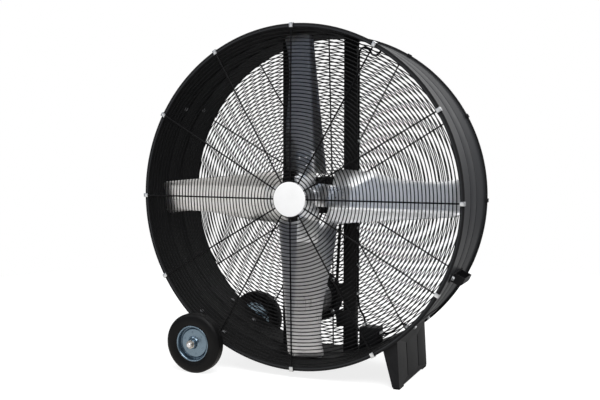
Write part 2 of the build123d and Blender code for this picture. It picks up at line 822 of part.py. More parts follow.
def foot():
    """A folded channel from the drum to the floor, with a flange along the drum."""
    y0, y1 = -foot_half_length, foot_half_length
    top, bottom, sheet = foot_web_top_z, foot_bottom_z, foot_sheet
    web = [(foot_web_top_x - sheet, top), (foot_web_top_x, top),
           (foot_web_bottom_x, bottom), (foot_web_bottom_x - sheet, bottom)]
    end = [(foot_web_top_x, top), (foot_web_bottom_x, bottom),
           (foot_inner_bottom_x, bottom), (foot_inner_top_x, foot_inner_top_z)]
    reach = (drum_outer_flat + sheet) / math.hypot(foot_inner_top_x, foot_inner_top_z - axis_height)
    end.append((foot_inner_top_x * reach + 4, axis_height + (foot_inner_top_z - axis_height) * reach))

    def plate(outline, low, high):
        face = Face(Wire.make_polygon([(x, low, z) for x, z in outline], close=True))
        return extrude(face, high - low, dir=(0, 1, 0))

    body = plate(web, y0, y1)
    body += plate(end, y0, y0 + sheet) + plate(end, y1 - sheet, y1)
    body += slab(foot_inner_bottom_x, foot_web_bottom_x - 1, y0, y1, bottom, bottom + sheet)
    lean = math.degrees(math.atan((foot_web_bottom_x - foot_web_top_x) / (top - bottom)))
    for y in foot_rib_y:
        middle = (foot_rib_low + foot_rib_high) / 2
        share = (top - middle) / (top - bottom)
        x = foot_web_top_x + share * (foot_web_bottom_x - foot_web_top_x)
        bar = Box(2 * foot_rib_depth, foot_rib_width, foot_rib_high - foot_rib_low)
        body -= Pos(x, y, middle) * Rot(0, -lean, 0) * bar
    body += drum_arc(foot_flange_start - 0.5, foot_angle(foot_flange_width), sheet, y0, y1)
    body -= drum_prism(drum_outer_flat + weld_gap, y0 - 1, y1 + 1)
    for y in (-foot_bolt_y, foot_bolt_y):
        body -= bolt_hole(drum_plane(foot_angle(foot_bolt_step), y, drum_outer_radius), 3 * sheet)
    return body


def foot_pads():
    x0, x1 = foot_inner_bottom_x + 1, foot_web_bottom_x
    pads = []
    for side in (-1, 1):
        near = side * (foot_half_length - pad_inset)
        far = near - side * pad_length
        pads.append(slab(x0, x1, min(near, far), max(near, far), 0, foot_bottom_z))
    return pads


def handle(angle):
    """A pressed pocket, open at the top, with an ear and a bolt at each end."""
    half, reach, sheet = handle_half_length, handle_reach, handle_sheet
    low, high = -handle_drop, handle_rise

    def profile(bottom, top, depth, corner):
        """The pocket's end view, as height and distance from the drum, rounded below."""
        corners = [(bottom, 0), (top, 0), (top, depth), (bottom, depth)]
        return Plane.YZ * eased(corners, [0, 0, 0, corner])

    pocket = extrude(profile(low, high, reach, handle_corner), half, both=True)
    hollow = extrude(profile(low + sheet, high + sheet, reach - sheet, handle_corner - sheet),
                     half - sheet, both=True)
    ears = Pos(0, (low + high) / 2, sheet / 2) * Box(2 * (half + handle_ear), high - low, sheet)
    upright = math.copysign(1, math.cos(math.radians(angle)))
    plane = drum_plane(angle, 0, drum_outer_radius)
    place = Plane(origin=plane.origin, x_dir=(0, upright, 0), z_dir=plane.z_dir).location
    body = place * (pocket - hollow + ears)
    for y in (-handle_bolt_y, handle_bolt_y):
        body -= bolt_hole(drum_plane(angle, y, drum_outer_radius), 4 * handle_sheet)
    return body


def junction_box():
    body = slab(box_left, box_right, box_front_y, box_rear_y, drum_floor_z, box_top_z)
    return body & drum_prism(drum_inner_radius - seat_gap, box_front_y, box_rear_y)


def box_lid():
    m = lid_margin
    front = box_front_y - lid_thickness
    body = slab(box_left + m, box_right - m, front, box_front_y, drum_floor_z, box_top_z - m)
    return body & drum_prism(drum_inner_radius - seat_gap - 4 * m, front, box_front_y)


def gland(origin, direction, length=gland_length):
    plane = Plane(origin=origin, z_dir=direction)
    return extrude(plane * RegularPolygon(gland_radius, 6), length)


def inner_wall(angle, inset):
    return drum_point(angle, lead_y, drum_inner_radius - inset)


def grommet(angle):
    a = math.radians(angle)
    inward = (-math.cos(a), 0, -math.sin(a))
    return gland(inner_wall(angle, seat_gap), inward)


def glands():
    return [
        gland((top_gland_x, lead_y, box_top_z), (0, 0, 1)),
        gland((box_right, lead_y, side_gland_z), (1, 0, 0)),
        grommet(upper_grommet_angle),
        grommet(lower_grommet_angle),
    ]


def bend_radii(points):
    """The largest arc that each corner of a route leaves room for."""
    at = [Vector(*p) for p in points]
    radii = []
    for a, b, c in zip(at, at[1:], at[2:]):
        turn = math.radians((b - a).get_angle(c - b))
        radii.append(0.45 * min((b - a).length, (c - b).length) / math.tan(turn / 2))
    return radii


def lead(name, route):
    """A flat-sided lead along straight runs and tangent arcs."""
    radii = bend_radii(route)
    print(name, "bend radii", [round(r, 1) for r in radii])
    path = FilletPolyline(*route, radius=radii)
    start = Vector(*route[1]) - Vector(*route[0])
    section = Plane(origin=route[0], z_dir=start) * RegularPolygon(lead_radius, lead_sides)
    return sweep(section, path=path)


def upper_lead_route():
    """From the box up the right rail and over to the drum's wall."""
    top = box_top_z + gland_length
    rise = seat_gap + gland_length
    loop = [(x, lead_y, axis_height + z) for x, z in lead_loop]
    return [
        (top_gland_x, lead_y, top),
        (top_gland_x, lead_y, top + lead_straight),
        (lead_x, lead_y, top + lead_offset_rise),
        (lead_x, lead_y, axis_height + lead_turn_rise),
        *loop,
        inner_wall(upper_grommet_angle, rise + lead_straight),
        inner_wall(upper_grommet_angle, rise),
    ]


def lower_lead_route():
    """From the box along the bottom of the drum to its wall."""
    rise = seat_gap + gland_length
    return [
        (box_right + gland_length, lead_y, side_gland_z),
        (box_right + gland_length + lead_straight, lead_y, side_gland_z),
        (lower_lead_x, lead_y, drum_floor_z + lower_lead_rise),
        inner_wall(lower_grommet_angle, rise + lead_straight),
        inner_wall(lower_grommet_angle, rise),
    ]


def lead_clips():
    """Saddles that hold the upper lead to the side of the right rail."""
    side = rail_x + rail_width / 2
    reach = lead_radius + lead_clip_wall
    clips = []
    for rise in lead_clip_rises:
        low = axis_height + rise - lead_clip_width / 2
        high = low + lead_clip_width
        block = slab(side, lead_x + reach, lead_y - reach, lead_y + reach, low, high)
        plane = Plane(origin=(lead_x, lead_y, low), z_dir=(0, 0, 1))
        hole = RegularPolygon(lead_radius + weld_gap, lead_sides)
        clips.append(block - extrude(plane * hole, lead_clip_width))
    return clips


def nodes():
    out = {
        "drum_shell": drum_shell(),
        "drum_bolts": drum_bolts(),
        "front_guard": front_guard(),
        "rear_guard": rear_guard(),
        "front_guard_clips": guard_clips(front_y, -1, 0.0),
        "rear_guard_clips": guard_clips(rear_y, 1, rear_guard_turn),
        "badge": badge(),
        "rail_right": rail(1),
        "rail_left": rail(-1),
        "bearing_plate_front": bearing_plate(front_plate_y),
        "bearing_plate_rear": bearing_plate(rail_rear_y),
        "bearing_front": bearing(front_plate_y, -1),
        "bearing_rear": bearing(rail_rear_y + plate_sheet, 1),
        "fan_shaft": fan_shaft(),
        "shaft_bolt": shaft_bolt(),
        "spider": spider(),
        "blade_rivets": rivets(),
        "fan_pulley": fan_pulley(),
        "belt": belt(),
        "motor_pulley": motor_pulley(),
        "motor_shaft": motor_shaft(),
        "motor_body": motor_body(),
        "motor_front_bell": motor_front_bell(),
        "motor_rear_bell": motor_rear_bell(),
        "motor_plate": motor_plate(),
        "motor_bolts": motor_bolts(),
        "axle": axle(),
        "axle_washers": axle_washers(),
        "axle_nuts": axle_nuts(),
        "axle_bracket_front": axle_bracket(-1),
        "axle_bracket_rear": axle_bracket(1),
        "foot": foot(),
        "foot_pads": foot_pads(),
        "handle_right": handle(handle_angle_right),
        "handle_left": handle(handle_angle_left),
        "junction_box": junction_box(),
        "box_lid": box_lid(),
        "glands": glands(),
        "box_leads": [lead("upper lead", upper_lead_route()), lead("lower lead", lower_lead_route())],
        "lead_clips": lead_clips(),
    }
    for k in range(blade_count):
        out[f"blade_{k + 1}"] = around_axis(blade_frame() * blade(), 360 / blade_count * k)
    for name, side in (("front", -1), ("rear", 1)):
        out[f"{name}_tyre"] = tyre(side * wheel_plane)
        out[f"{name}_rim"] = rim(side * wheel_plane)
    return out


def main():
    os.makedirs("parts", exist_ok=True)
    for name, shape in nodes().items():
        solids = shape if isinstance(shape, list) else [shape]
        flat = [s for item in solids for s in item.solids()]
        whole = flat[0] if len(flat) == 1 else Compound(children=flat)
        whole.label = name
        export_step(whole, f"parts/{name}.step")


main()
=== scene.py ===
import bpy
import bmesh
import math
from mathutils import Matrix, Vector


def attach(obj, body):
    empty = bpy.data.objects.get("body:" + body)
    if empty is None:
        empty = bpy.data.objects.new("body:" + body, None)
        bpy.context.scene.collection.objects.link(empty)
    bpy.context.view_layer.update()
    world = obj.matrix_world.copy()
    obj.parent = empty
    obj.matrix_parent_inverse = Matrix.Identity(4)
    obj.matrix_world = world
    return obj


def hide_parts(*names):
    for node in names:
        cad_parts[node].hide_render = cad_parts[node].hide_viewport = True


# Drum fan on two wheels and a foot, in metres: +X right, +Y to the rear, +Z up.
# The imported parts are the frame; the pieces below are dressed over them.
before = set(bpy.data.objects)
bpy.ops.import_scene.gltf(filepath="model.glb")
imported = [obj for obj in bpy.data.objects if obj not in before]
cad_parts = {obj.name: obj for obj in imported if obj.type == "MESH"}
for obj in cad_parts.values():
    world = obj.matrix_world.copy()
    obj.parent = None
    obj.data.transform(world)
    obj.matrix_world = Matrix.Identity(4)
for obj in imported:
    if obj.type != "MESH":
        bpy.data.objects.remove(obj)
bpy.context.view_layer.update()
print("frame loaded:", len(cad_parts), "parts")

place = {
    "axisZ": 0.586,        # the fan's axis above the floor
    "frontY": -0.170,      # front lip
    "rearY": 0.170,        # rear lip
    "motorZ": 0.239,
    "wheelX": -0.328,
    "wheelZ": 0.100,
    "wheelY": 0.230,
}
hub = Vector((0.0, 0.0, place["axisZ"]))
touching = 1e-6            # vertices this near to each other are one


# objects and meshes

def linked(name, data):
    obj = bpy.data.objects.new(name, data)
    bpy.context.scene.collection.objects.link(obj)
    return obj


def removed(obj):
    bpy.data.objects.remove(obj, do_unlink=True)


def plainMesh(obj):
    # what the modifiers give, as the object's own mesh
    view = bpy.context.evaluated_depsgraph_get()
    mesh = bpy.data.meshes.new_from_object(obj.evaluated_get(view), depsgraph=view)
    obj.modifiers.clear()
    old = obj.data
    obj.data = mesh
    bpy.data.meshes.remove(old)
    mesh.name = obj.name
    return obj


def shade(mesh, sharpAngle):
    mesh.polygons.foreach_set("use_smooth", [True] * len(mesh.polygons))
    mesh.set_sharp_from_angle(angle=math.radians(sharpAngle))
    mesh.update()


def dress(obj, look, slot, body="root", *nodes):
    obj.data.materials.clear()
    obj.data.materials.append(finish[look])
    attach(obj, body)
    if nodes:
        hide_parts(*nodes)
    return obj


def fromBmesh(name, form, sharpAngle=35, faceOut=True):
    if faceOut:
        bmesh.ops.recalc_face_normals(form, faces=form.faces)
    mesh = bpy.data.meshes.new(name)
    form.to_mesh(mesh)
    form.free()
    shade(mesh, sharpAngle)
    return linked(name, mesh)


def merged(name, parts, sharpAngle):
    form = bmesh.new()
    for part in parts:
        form.from_mesh(part.data)
        removed(part)
    return fromBmesh(name, form, sharpAngle, faceOut=False)


def easeEdges(obj, width, edgeAngle, sharpAngle, segments=2):
    # rounds every edge that is sharper than the edge angle
    ease = obj.modifiers.new("ease", "BEVEL")
    ease.width = width
    ease.segments = segments
    ease.limit_method = "ANGLE"
    ease.angle_limit = math.radians(edgeAngle)
    plainMesh(obj)
    shade(obj.data, sharpAngle)
    return obj


def skin(form, rings, looped=False):
    # faces from each ring of vertices to the next; the end rings are filled, or looped together
    following = rings[1:] + rings[:1] if looped else rings[1:]
    for here, ahead in zip(rings, following):
        for m in range(len(here)):
            n = (m + 1) % len(here)
            if here[m].co != ahead[m].co or here[n].co != ahead[n].co:   # no face along the axis itself
                form.faces.new((here[m], here[n], ahead[n], ahead[m]))
    if not looped:
        form.faces.new(rings[0])
        form.faces.new(rings[-1])


def rounded(points, steps=4, radius=0.0):
    # a closed outline with its corners rounded; a third value in a point is its own radius
    mostOfSide = 0.49      # so that two corners on one side never meet
    out = []
    for k, point in enumerate(points):
        here = Vector(point[:2])
        before = Vector(points[k - 1][:2]) - here
        after = Vector(points[(k + 1) % len(points)][:2]) - here
        size = point[2] if len(point) > 2 else radius
        size = min(size, mostOfSide * before.length, mostOfSide * after.length)
        if size < touching:
            out.append(tuple(here))
            continue
        start = here + before.normalized() * size
        end = here + after.normalized() * size
        for step in range(steps + 1):
            t = step / steps
            out.append(tuple(start * (1 - t) ** 2 + here * 2 * t * (1 - t) + end * t * t))
    return out


def turned(name, outline, segments, x=0.0, z=place["axisZ"], sharpAngle=35):
    # carries a closed (radius, y) outline round a line along Y
    form = bmesh.new()
    rings = []
    for k in range(segments):
        a = 2 * math.pi * k / segments
        rings.append([form.verts.new((x + r * math.cos(a), y, z + r * math.sin(a))) for r, y in outline])
    skin(form, rings, looped=True)
    bmesh.ops.remove_doubles(form, verts=form.verts, dist=touching)
    return fromBmesh(name, form, sharpAngle)


def drumSpot(angle, y, radius):
    a = math.radians(angle)
    return Vector((radius * math.cos(a), y, place["axisZ"] + radius * math.sin(a)))


# nodes

def join(tree, source, target):
    tree.links.new(source, target)


def newNode(tree, kind, feeds=None, **settings):
    # a node with its settings, and each input joined to a socket or given a value
    item = tree.nodes.new(kind)
    for key, value in settings.items():
        setattr(item, key, value)
    for key, value in (feeds or {}).items():
        if isinstance(value, bpy.types.NodeSocket):
            join(tree, value, item.inputs[key])
        else:
            item.inputs[key].default_value = value
    return item


def make(tree, kind, feeds=None, **settings):
    # the first output of a new node
    return newNode(tree, kind, feeds, **settings).outputs[0]


def newTree(name, kind, inputs, outputs):
    tree = bpy.data.node_groups.new(name, kind + "NodeTree")
    for label, socket, value in inputs:
        made = tree.interface.new_socket(name=label, in_out="INPUT", socket_type="NodeSocket" + socket)
        if value is not None:
            made.default_value = value
    for label, socket in outputs:
        tree.interface.new_socket(name=label, in_out="OUTPUT", socket_type="NodeSocket" + socket)
    return tree, newNode(tree, "NodeGroupInput").outputs, newNode(tree, "NodeGroupOutput").inputs


def sums(tree, how, first, second):
    return make(tree, "ShaderNodeMath", {0: first, 1: second}, operation=how)


def vectors(tree, how, feeds, output="Vector"):
    return newNode(tree, "ShaderNodeVectorMath", feeds, operation=how).outputs[output]


def vectorOf(tree, x=0.0, y=0.0, z=0.0):
    return make(tree, "ShaderNodeCombineXYZ", {0: x, 1: y, 2: z})


def coordinates(tree, kind="Object"):
    return newNode(tree, "ShaderNodeTexCoord").outputs[kind]


def noise(tree, spot, scale, detail):
    return make(tree, "ShaderNodeTexNoise", {"Vector": spot, "Scale": scale, "Detail": detail})


def remapped(tree, value, low, high, to=(0.0, 1.0), how="LINEAR"):
    # carries the stretch from low to high onto another one, and holds its ends
    return make(tree, "ShaderNodeMapRange", {"Value": value, "From Min": low, "From Max": high,
                                             "To Min": to[0], "To Max": to[1]}, interpolation_type=how)


def mixedColour(tree, share, first, second):
    return newNode(tree, "ShaderNodeMix", {0: share, 6: first, 7: second}, data_type="RGBA").outputs[2]


def mixedValue(tree, share, first, second):
    return make(tree, "ShaderNodeMix", {0: share, 2: first, 3: second})


def swing(tree, wave, size):
    # a wave between 0 and 1 made to swing about 0
    return sums(tree, "MULTIPLY", sums(tree, "SUBTRACT", wave, 0.5), size)


def product(tree, first, second, third):
    return sums(tree, "MULTIPLY", sums(tree, "MULTIPLY", first, second), third)


# shared surface effects

wear = {
    "mottleScale": 9.0, "speck": 0.10, "powderSmoothest": 0.08,
    "cloudScale": 7.0, "drawnSmoothest": 0.06, "roughest": 0.95,
    "edge": (0.53, 0.62), "tornScale": 60.0, "torn": (0.45, 0.62),
    "facing": (0.2, 1.0), "dustScale": 35.0, "dustColour": (0.22, 0.21, 0.19, 1), "dustRoughness": 0.9,
}
coatOutputs = [("Colour", "Color"), ("Roughness", "Float"), ("Height", "Float")]


def varied(tree, given, result, tone, roughShift, relief, smoothest):
    # a colour and a roughness that change over the surface, and the relief behind them
    tint = vectors(tree, "SCALE", {0: given["Colour"], "Scale": sums(tree, "ADD", tone, 1.0)})
    rough = sums(tree, "ADD", given["Roughness"], roughShift)
    held = make(tree, "ShaderNodeClamp", {0: rough, 1: smoothest, 2: wear["roughest"]})
    for source, label in ((tint, "Colour"), (held, "Roughness"), (relief, "Height")):
        join(tree, source, result[label])
    return tree


def powderCoat():
    # fine orange peel and a slow mottle, for sprayed and baked paint
    tree, given, result = newTree("powderCoat", "Shader", [
        ("Colour", "Color", (0.02, 0.02, 0.02, 1)),
        ("Roughness", "Float", 0.45),
        ("Grain Scale", "Float", 900.0),
        ("Mottle", "Float", 0.12),
    ], coatOutputs)
    spot = coordinates(tree)
    fine = noise(tree, spot, given["Grain Scale"], 2.0)
    mottle = swing(tree, noise(tree, spot, wear["mottleScale"], 3.0), given["Mottle"])
    roughShift = sums(tree, "ADD", swing(tree, fine, wear["speck"]), mottle)
    return varied(tree, given, result, mottle, roughShift, fine, wear["powderSmoothest"])


def drawnGrain():
    # streaks along one direction, from rolling, drawing or brushing
    tree, given, result = newTree("drawnGrain", "Shader", [
        ("Place", "Vector", (0, 0, 0)),
        ("Colour", "Color", (0.6, 0.6, 0.6, 1)),
        ("Roughness", "Float", 0.3),
        ("Stretch", "Vector", (300, 8, 300)),
        ("Streak", "Float", 0.15),
        ("Cloud", "Float", 0.10),
    ], coatOutputs)
    lines = noise(tree, vectors(tree, "MULTIPLY", {0: given["Place"], 1: given["Stretch"]}), 1.0, 3.0)
    cloud = noise(tree, given["Place"], wear["cloudScale"], 2.0)
    shift = sums(tree, "ADD", swing(tree, lines, given["Streak"]), swing(tree, cloud, given["Cloud"]))
    return varied(tree, given, result, shift, shift, lines, wear["drawnSmoothest"])


def edgeRub():
    # where a coat is rubbed thin along edges, broken up by noise
    tree, given, result = newTree("edgeRub", "Shader", [
        ("Colour", "Color", (0.02, 0.02, 0.02, 1)),
        ("Under", "Color", (0.3, 0.3, 0.3, 1)),
        ("Amount", "Float", 0.3),
    ], [("Colour", "Color")])
    edge = remapped(tree, newNode(tree, "ShaderNodeNewGeometry").outputs["Pointiness"], *wear["edge"])
    torn = remapped(tree, noise(tree, coordinates(tree), wear["tornScale"], 4.0), *wear["torn"])
    mask = product(tree, edge, torn, given["Amount"])
    join(tree, mixedColour(tree, mask, given["Colour"], given["Under"]), result["Colour"])
    return tree


def settledDust():
    # a thin pale film on what faces up
    tree, given, result = newTree("settledDust", "Shader", [
        ("Colour", "Color", (0.02, 0.02, 0.02, 1)),
        ("Roughness", "Float", 0.5),
        ("Amount", "Float", 0.1),
    ], [("Colour", "Color"), ("Roughness", "Float")])
    up = newNode(tree, "ShaderNodeSeparateXYZ", {0: coordinates(tree, "Normal")}).outputs[2]
    patch = noise(tree, coordinates(tree), wear["dustScale"], 5.0)
    mask = product(tree, remapped(tree, up, *wear["facing"]), patch, given["Amount"])
    join(tree, mixedColour(tree, mask, given["Colour"], wear["dustColour"]), result["Colour"])
    join(tree, mixedValue(tree, mask, given["Roughness"], wear["dustRoughness"]), result["Roughness"])
    return tree


effects = {"powder": powderCoat(), "drawn": drawnGrain(), "rub": edgeRub(), "dust": settledDust()}


# materials

finish = {}


def effect(tree, name, feeds):
    return newNode(tree, "ShaderNodeGroup", feeds, node_tree=effects[name]).outputs


def newMaterial(name, **sockets):
    # gives the tree and the surface's inputs of a new material, which finish keeps under its name
    material = bpy.data.materials.new(name)
    finish[name] = material
    material.use_nodes = True
    tree = material.node_tree
    surface = tree.nodes["Principled BSDF"]
    for key, value in sockets.items():
        surface.inputs[key.replace("_", " ")].default_value = value
    return tree, surface.inputs


def joinLook(tree, surface, colour, roughness, relief, strength, distance):
    # joins a look to its surface, the relief as a bump
    bump = make(tree, "ShaderNodeBump", {"Height": relief, "Strength": strength, "Distance": distance})
    for source, label in ((colour, "Base Color"), (roughness, "Roughness"), (bump, "Normal")):
        join(tree, source, surface[label])


def coated(tree, surface, colour, roughness, grain, peel, mottle=0.12, rub=0.0, dust=0.0,
           under=(0.12, 0.12, 0.13, 1), distance=0.0004):
    # a coat with its grain, rubbed thin along its edges and dusty where it faces up
    coat = effect(tree, "powder", {"Colour": colour, "Roughness": roughness, "Grain Scale": grain,
                                   "Mottle": mottle})
    shown, rough = coat["Colour"], coat["Roughness"]
    if rub:
        shown = effect(tree, "rub", {"Colour": shown, "Under": under, "Amount": rub})["Colour"]
    if dust:
        film = effect(tree, "dust", {"Colour": shown, "Roughness": rough, "Amount": dust})
        shown, rough = film["Colour"], film["Roughness"]
    joinLook(tree, surface, shown, rough, coat["Height"], peel, distance)


def painted(name, colour, roughness, grain=900.0, rub=0.08, dust=0.015, peel=0.05, specular=0.16):
    tree, surface = newMaterial(name, Specular_IOR_Level=specular)
    coated(tree, surface, (*colour, 1), roughness, grain, peel, rub=rub, dust=dust)


def moulded(name, colour, roughness, grain=700.0, depth=0.25):
    # rubber and plastic with a fine spark-eroded grain
    tree, surface = newMaterial(name, Specular_IOR_Level=0.12)
    coated(tree, surface, (*colour, 1), roughness, grain, depth, mottle=0.3, dust=0.03, distance=0.0003)


def rimPaint():
    # steel-blue metallic paint under a clear coat
    tree, surface = newMaterial("rimPaint", Metallic=0.85, Coat_Weight=0.5, Coat_Roughness=0.12)
    coated(tree, surface, (0.125, 0.180, 0.230, 1), 0.29, grain=1500.0, peel=0.03, mottle=0.2, rub=0.2,
           under=(0.35, 0.36, 0.37, 1), distance=0.0003)


def drumPaint():
    # satin outside, matt inside; the one black coat is painted lighter on the outer wall as painted light,
    # and stays near-black inside and on the lip
    # outside is a lighter copy of the inside colour: painted light on the outer wall
    values = {"inside": (0.0075, 0.0075, 0.0080, 1), "outside": (0.020, 0.021, 0.023, 1),
              "matt": 0.70, "satin": 0.42, "wallRadius": 0.549, "wallBlur": 0.0004,
              "lipRadius": 0.553, "lipBlur": 0.001}
    tree, surface = newMaterial("drumPaint", Specular_IOR_Level=0.16)
    fromHub = vectors(tree, "SUBTRACT", {0: coordinates(tree), 1: tuple(hub)})
    flat = vectors(tree, "MULTIPLY", {0: fromHub, 1: (1, 0, 1)})
    radius = vectors(tree, "LENGTH", {0: flat}, "Value")
    wall, lip = values["wallRadius"], values["lipRadius"]
    pastWall = remapped(tree, radius, wall - values["wallBlur"], wall + values["wallBlur"])
    pastLip = remapped(tree, radius, lip, lip + values["lipBlur"])
    # outer marks the outer wall between the wall and lip radii, where the painted light goes
    outer = sums(tree, "SUBTRACT", pastWall, pastLip)
    rough = mixedValue(tree, outer, values["matt"], values["satin"])
    colour = mixedColour(tree, outer, values["inside"], values["outside"])
    coated(tree, surface, colour, rough, grain=800.0, peel=0.05, dust=0.015)


def metal(name, colour, roughness, stretch, streak=0.15, cloud=0.1, attribute=None, metallic=1.0):
    tree, surface = newMaterial(name, Metallic=metallic)
    if attribute:
        spot = newNode(tree, "ShaderNodeAttribute", attribute_name=attribute).outputs["Vector"]
    else:
        spot = coordinates(tree)
    grain = effect(tree, "drawn", {"Place": spot, "Colour": (*colour, 1), "Roughness": roughness,
                                   "Stretch": stretch, "Streak": streak, "Cloud": cloud})
    joinLook(tree, surface, grain["Colour"], grain["Roughness"], grain["Height"], 0.08, 0.0003)


drumPaint()
painted("guardPaint", (0.0040, 0.0040, 0.0045), 0.45, rub=0.0, dust=0.0, specular=0.10)
painted("framePaint", (0.0065, 0.0065, 0.0070), 0.5)
painted("footPaint", (0.008, 0.008, 0.009), 0.45, specular=0.14)
painted("clipPaint", (0.010, 0.010, 0.011), 0.45)
painted("motorPaint", (0.010, 0.010, 0.011), 0.42, specular=0.25)
painted("bearingIron", (0.020, 0.020, 0.022), 0.5, grain=350.0, peel=0.25)
painted("blackBolt", (0.008, 0.008, 0.009), 0.4)
painted("badgeWhite", (0.90, 0.90, 0.90), 0.28, rub=0.0, dust=0.0, peel=0.02, specular=0.5)
metal("zinc", (0.58, 0.59, 0.60), 0.30, (90, 90, 90), streak=0.10, metallic=0.85)
metal("darkZinc", (0.20, 0.20, 0.21), 0.34, (90, 90, 90), streak=0.10)
metal("dullZinc", (0.42, 0.40, 0.37), 0.32, (90, 90, 90), streak=0.10)
metal("drawnSteel", (0.58, 0.58, 0.60), 0.26, (600, 20, 600))
metal("bellAluminium", (0.55, 0.55, 0.56), 0.38, (160, 160, 160))
metal("spiderSteel", (0.78, 0.79, 0.81), 0.30, (60, 60, 60), streak=0.08)
metal("bladeSheet", (0.82, 0.82, 0.83), 0.30, (420, 9, 420), streak=0.08, cloud=0.08,
      attribute="bladePlace")
metal("pulleyIron", (0.16, 0.16, 0.17), 0.42, (200, 200, 200))
moulded("boxPlastic", (0.009, 0.009, 0.010), 0.5)
moulded("leadRubber", (0.007, 0.007, 0.008), 0.45, depth=0.1)
moulded("beltRubber", (0.009, 0.009, 0.009), 0.75, grain=350.0, depth=0.5)
moulded("padRubber", (0.010, 0.010, 0.010), 0.8, grain=400.0, depth=0.5)
moulded("tyreRubber", (0.0025, 0.0025, 0.0028), 0.48, grain=500.0, depth=0.2)
rimPaint()
print("finishes made:", len(finish))


# trees for what repeats

def grown(name, tree, values, mesh=None):
    # the plain mesh that a tree makes with these values
    obj = linked(name, mesh or bpy.data.meshes.new(name))
    build = obj.modifiers.new("build", "NODES")
    build.node_group = tree
    for item in tree.interface.items_tree:
        if item.item_type == "SOCKET" and item.in_out == "INPUT" and item.name in values:
            build[item.identifier] = values[item.name]
    return plainMesh(obj)


def copied(tree, points, piece, feeds):
    # a real copy of a piece on every point
    placed = make(tree, "GeometryNodeInstanceOnPoints", {"Points": points, "Instance": piece, **feeds})
    return make(tree, "GeometryNodeRealizeInstances", {0: placed})


def pieceMesh(tree, given):
    # the mesh of the tree's small piece
    return newNode(tree, "GeometryNodeObjectInfo", {"Object": given["Piece"]},
                   transform_space="ORIGINAL").outputs["Geometry"]


def evenTurn(tree, given, count):
    # each copy's turn about Y, at even steps from the first
    step = sums(tree, "DIVIDE", 2 * math.pi, count)
    angle = sums(tree, "MULTIPLY", make(tree, "GeometryNodeInputIndex"), step)
    turn = vectorOf(tree, y=sums(tree, "ADD", angle, given["Turn"]))
    return make(tree, "FunctionNodeEulerToRotation", {0: turn})


def closeTree(tree, geometry, given, result):
    done = make(tree, "GeometryNodeSetMaterial", {"Geometry": geometry, "Material": given["Finish"]})
    join(tree, done, result["Geometry"])
    return tree


def roundAxisTree():
    # copies of one small piece at even steps round the fan's axis
    tree, given, result = newTree("roundAxisTree", "Geometry", [
        ("Piece", "Object", None), ("Count", "Int", 12), ("Turn", "Float", 0.0),
        ("Centre", "Vector", tuple(hub)), ("Finish", "Material", None),
    ], [("Geometry", "Geometry")])
    points = make(tree, "GeometryNodePoints", {"Count": given["Count"], "Position": given["Centre"]})
    turn = evenTurn(tree, given, given["Count"])
    return closeTree(tree, copied(tree, points, pieceMesh(tree, given), {"Rotation": turn}), given, result)


def stationTree():
    # copies of one small piece on points, each standing along its point's "outward"
    tree, given, result = newTree("stationTree", "Geometry", [
        ("Stations", "Geometry", None), ("Piece", "Object", None), ("Spin", "Float", 6.28),
        ("Seed", "Int", 7), ("Finish", "Material", None),
    ], [("Geometry", "Geometry")])
    outward = make(tree, "GeometryNodeInputNamedAttribute", {"Name": "outward"}, data_type="FLOAT_VECTOR")
    upright = make(tree, "FunctionNodeAlignRotationToVector", {"Vector": outward}, axis="Z")
    chance = newNode(tree, "FunctionNodeRandomValue", {3: given["Spin"], "Seed": given["Seed"]},
                     data_type="FLOAT").outputs[1]
    spin = make(tree, "FunctionNodeEulerToRotation", {0: vectorOf(tree, z=chance)})
    stood = make(tree, "FunctionNodeRotateRotation", {0: upright, 1: spin}, rotation_space="LOCAL")
    copies = copied(tree, given["Stations"], pieceMesh(tree, given), {"Rotation": stood})
    return closeTree(tree, copies, given, result)


trees = {"roundAxis": roundAxisTree(), "station": stationTree()}


def onStations(name, stations, piece, look, slot, body="root", nodes=(), seed=7):
    mesh = bpy.data.meshes.new(name)
    mesh.from_pydata([tuple(spot) for spot, _ in stations], [], [])
    outward = mesh.attributes.new("outward", "FLOAT_VECTOR", "POINT")
    outward.data.foreach_set("vector", [c for _, way in stations for c in way])
    obj = grown(name, trees["station"], {"Piece": piece, "Seed": seed, "Finish": finish[look]}, mesh)
    return dress(obj, look, slot, body, *nodes)


# small fasteners, drawn standing on the origin along +Z

bolt = {
    "headRadius": 0.0085, "headHigh": 0.004,
    "washer": 0.0078, "washerHigh": 0.0014, "nut": 0.0068, "top": 0.0078, "thread": 0.0034,
}


def capShape(name, rings, sides, sharpAngle=35):
    # a turned or many-sided button from (radius, height) rings, closed at both ends
    form = bmesh.new()
    turns = [2 * math.pi * k / sides for k in range(sides)]
    skin(form, [[form.verts.new((r * math.cos(a), r * math.sin(a), high)) for a in turns]
                for r, high in rings])
    return fromBmesh(name, form, sharpAngle)


def domedHead(name, radius, height, sides=20):
    straight, shoulder, flat = 0.12, 0.98, 0.06   # a share of the height and two of the radius
    steps = 6
    rings = [(radius, 0.0), (radius, straight * height)]
    for step in range(1, steps):
        a = math.pi / 2 * step / steps
        rings.append((radius * math.cos(a) * shoulder, height * (straight + (1 - straight) * math.sin(a))))
    return capShape(name, rings + [(radius * flat, height)], sides, 50)


def nutOnWasher(name, size):
    # washer, hexagon nut with a turned top, and the thread's end
    washer, nut, thread = size["washer"], size["nut"], size["thread"]
    low, high = size["washerHigh"], size["top"]
    return merged(name, [
        capShape(name + "Washer", [(washer, 0.0), (washer, low * 0.7), (washer * 0.96, low),
                                   (nut * 0.7, low)], 24),
        capShape(name + "Nut", [(nut * 0.97, low), (nut, low + 0.0006), (nut, high - 0.0014),
                                (nut * 0.86, high - 0.0004), (thread * 1.05, high - 0.0004)], 6, 20),
        capShape(name + "End", [(thread, high - 0.0008), (thread, high), (thread * 0.6, high)], 12),
    ], 25)


boltHead = domedHead("boltHead", bolt["headRadius"], bolt["headHigh"])
boltNut = nutOnWasher("boltNut", bolt)


# drum

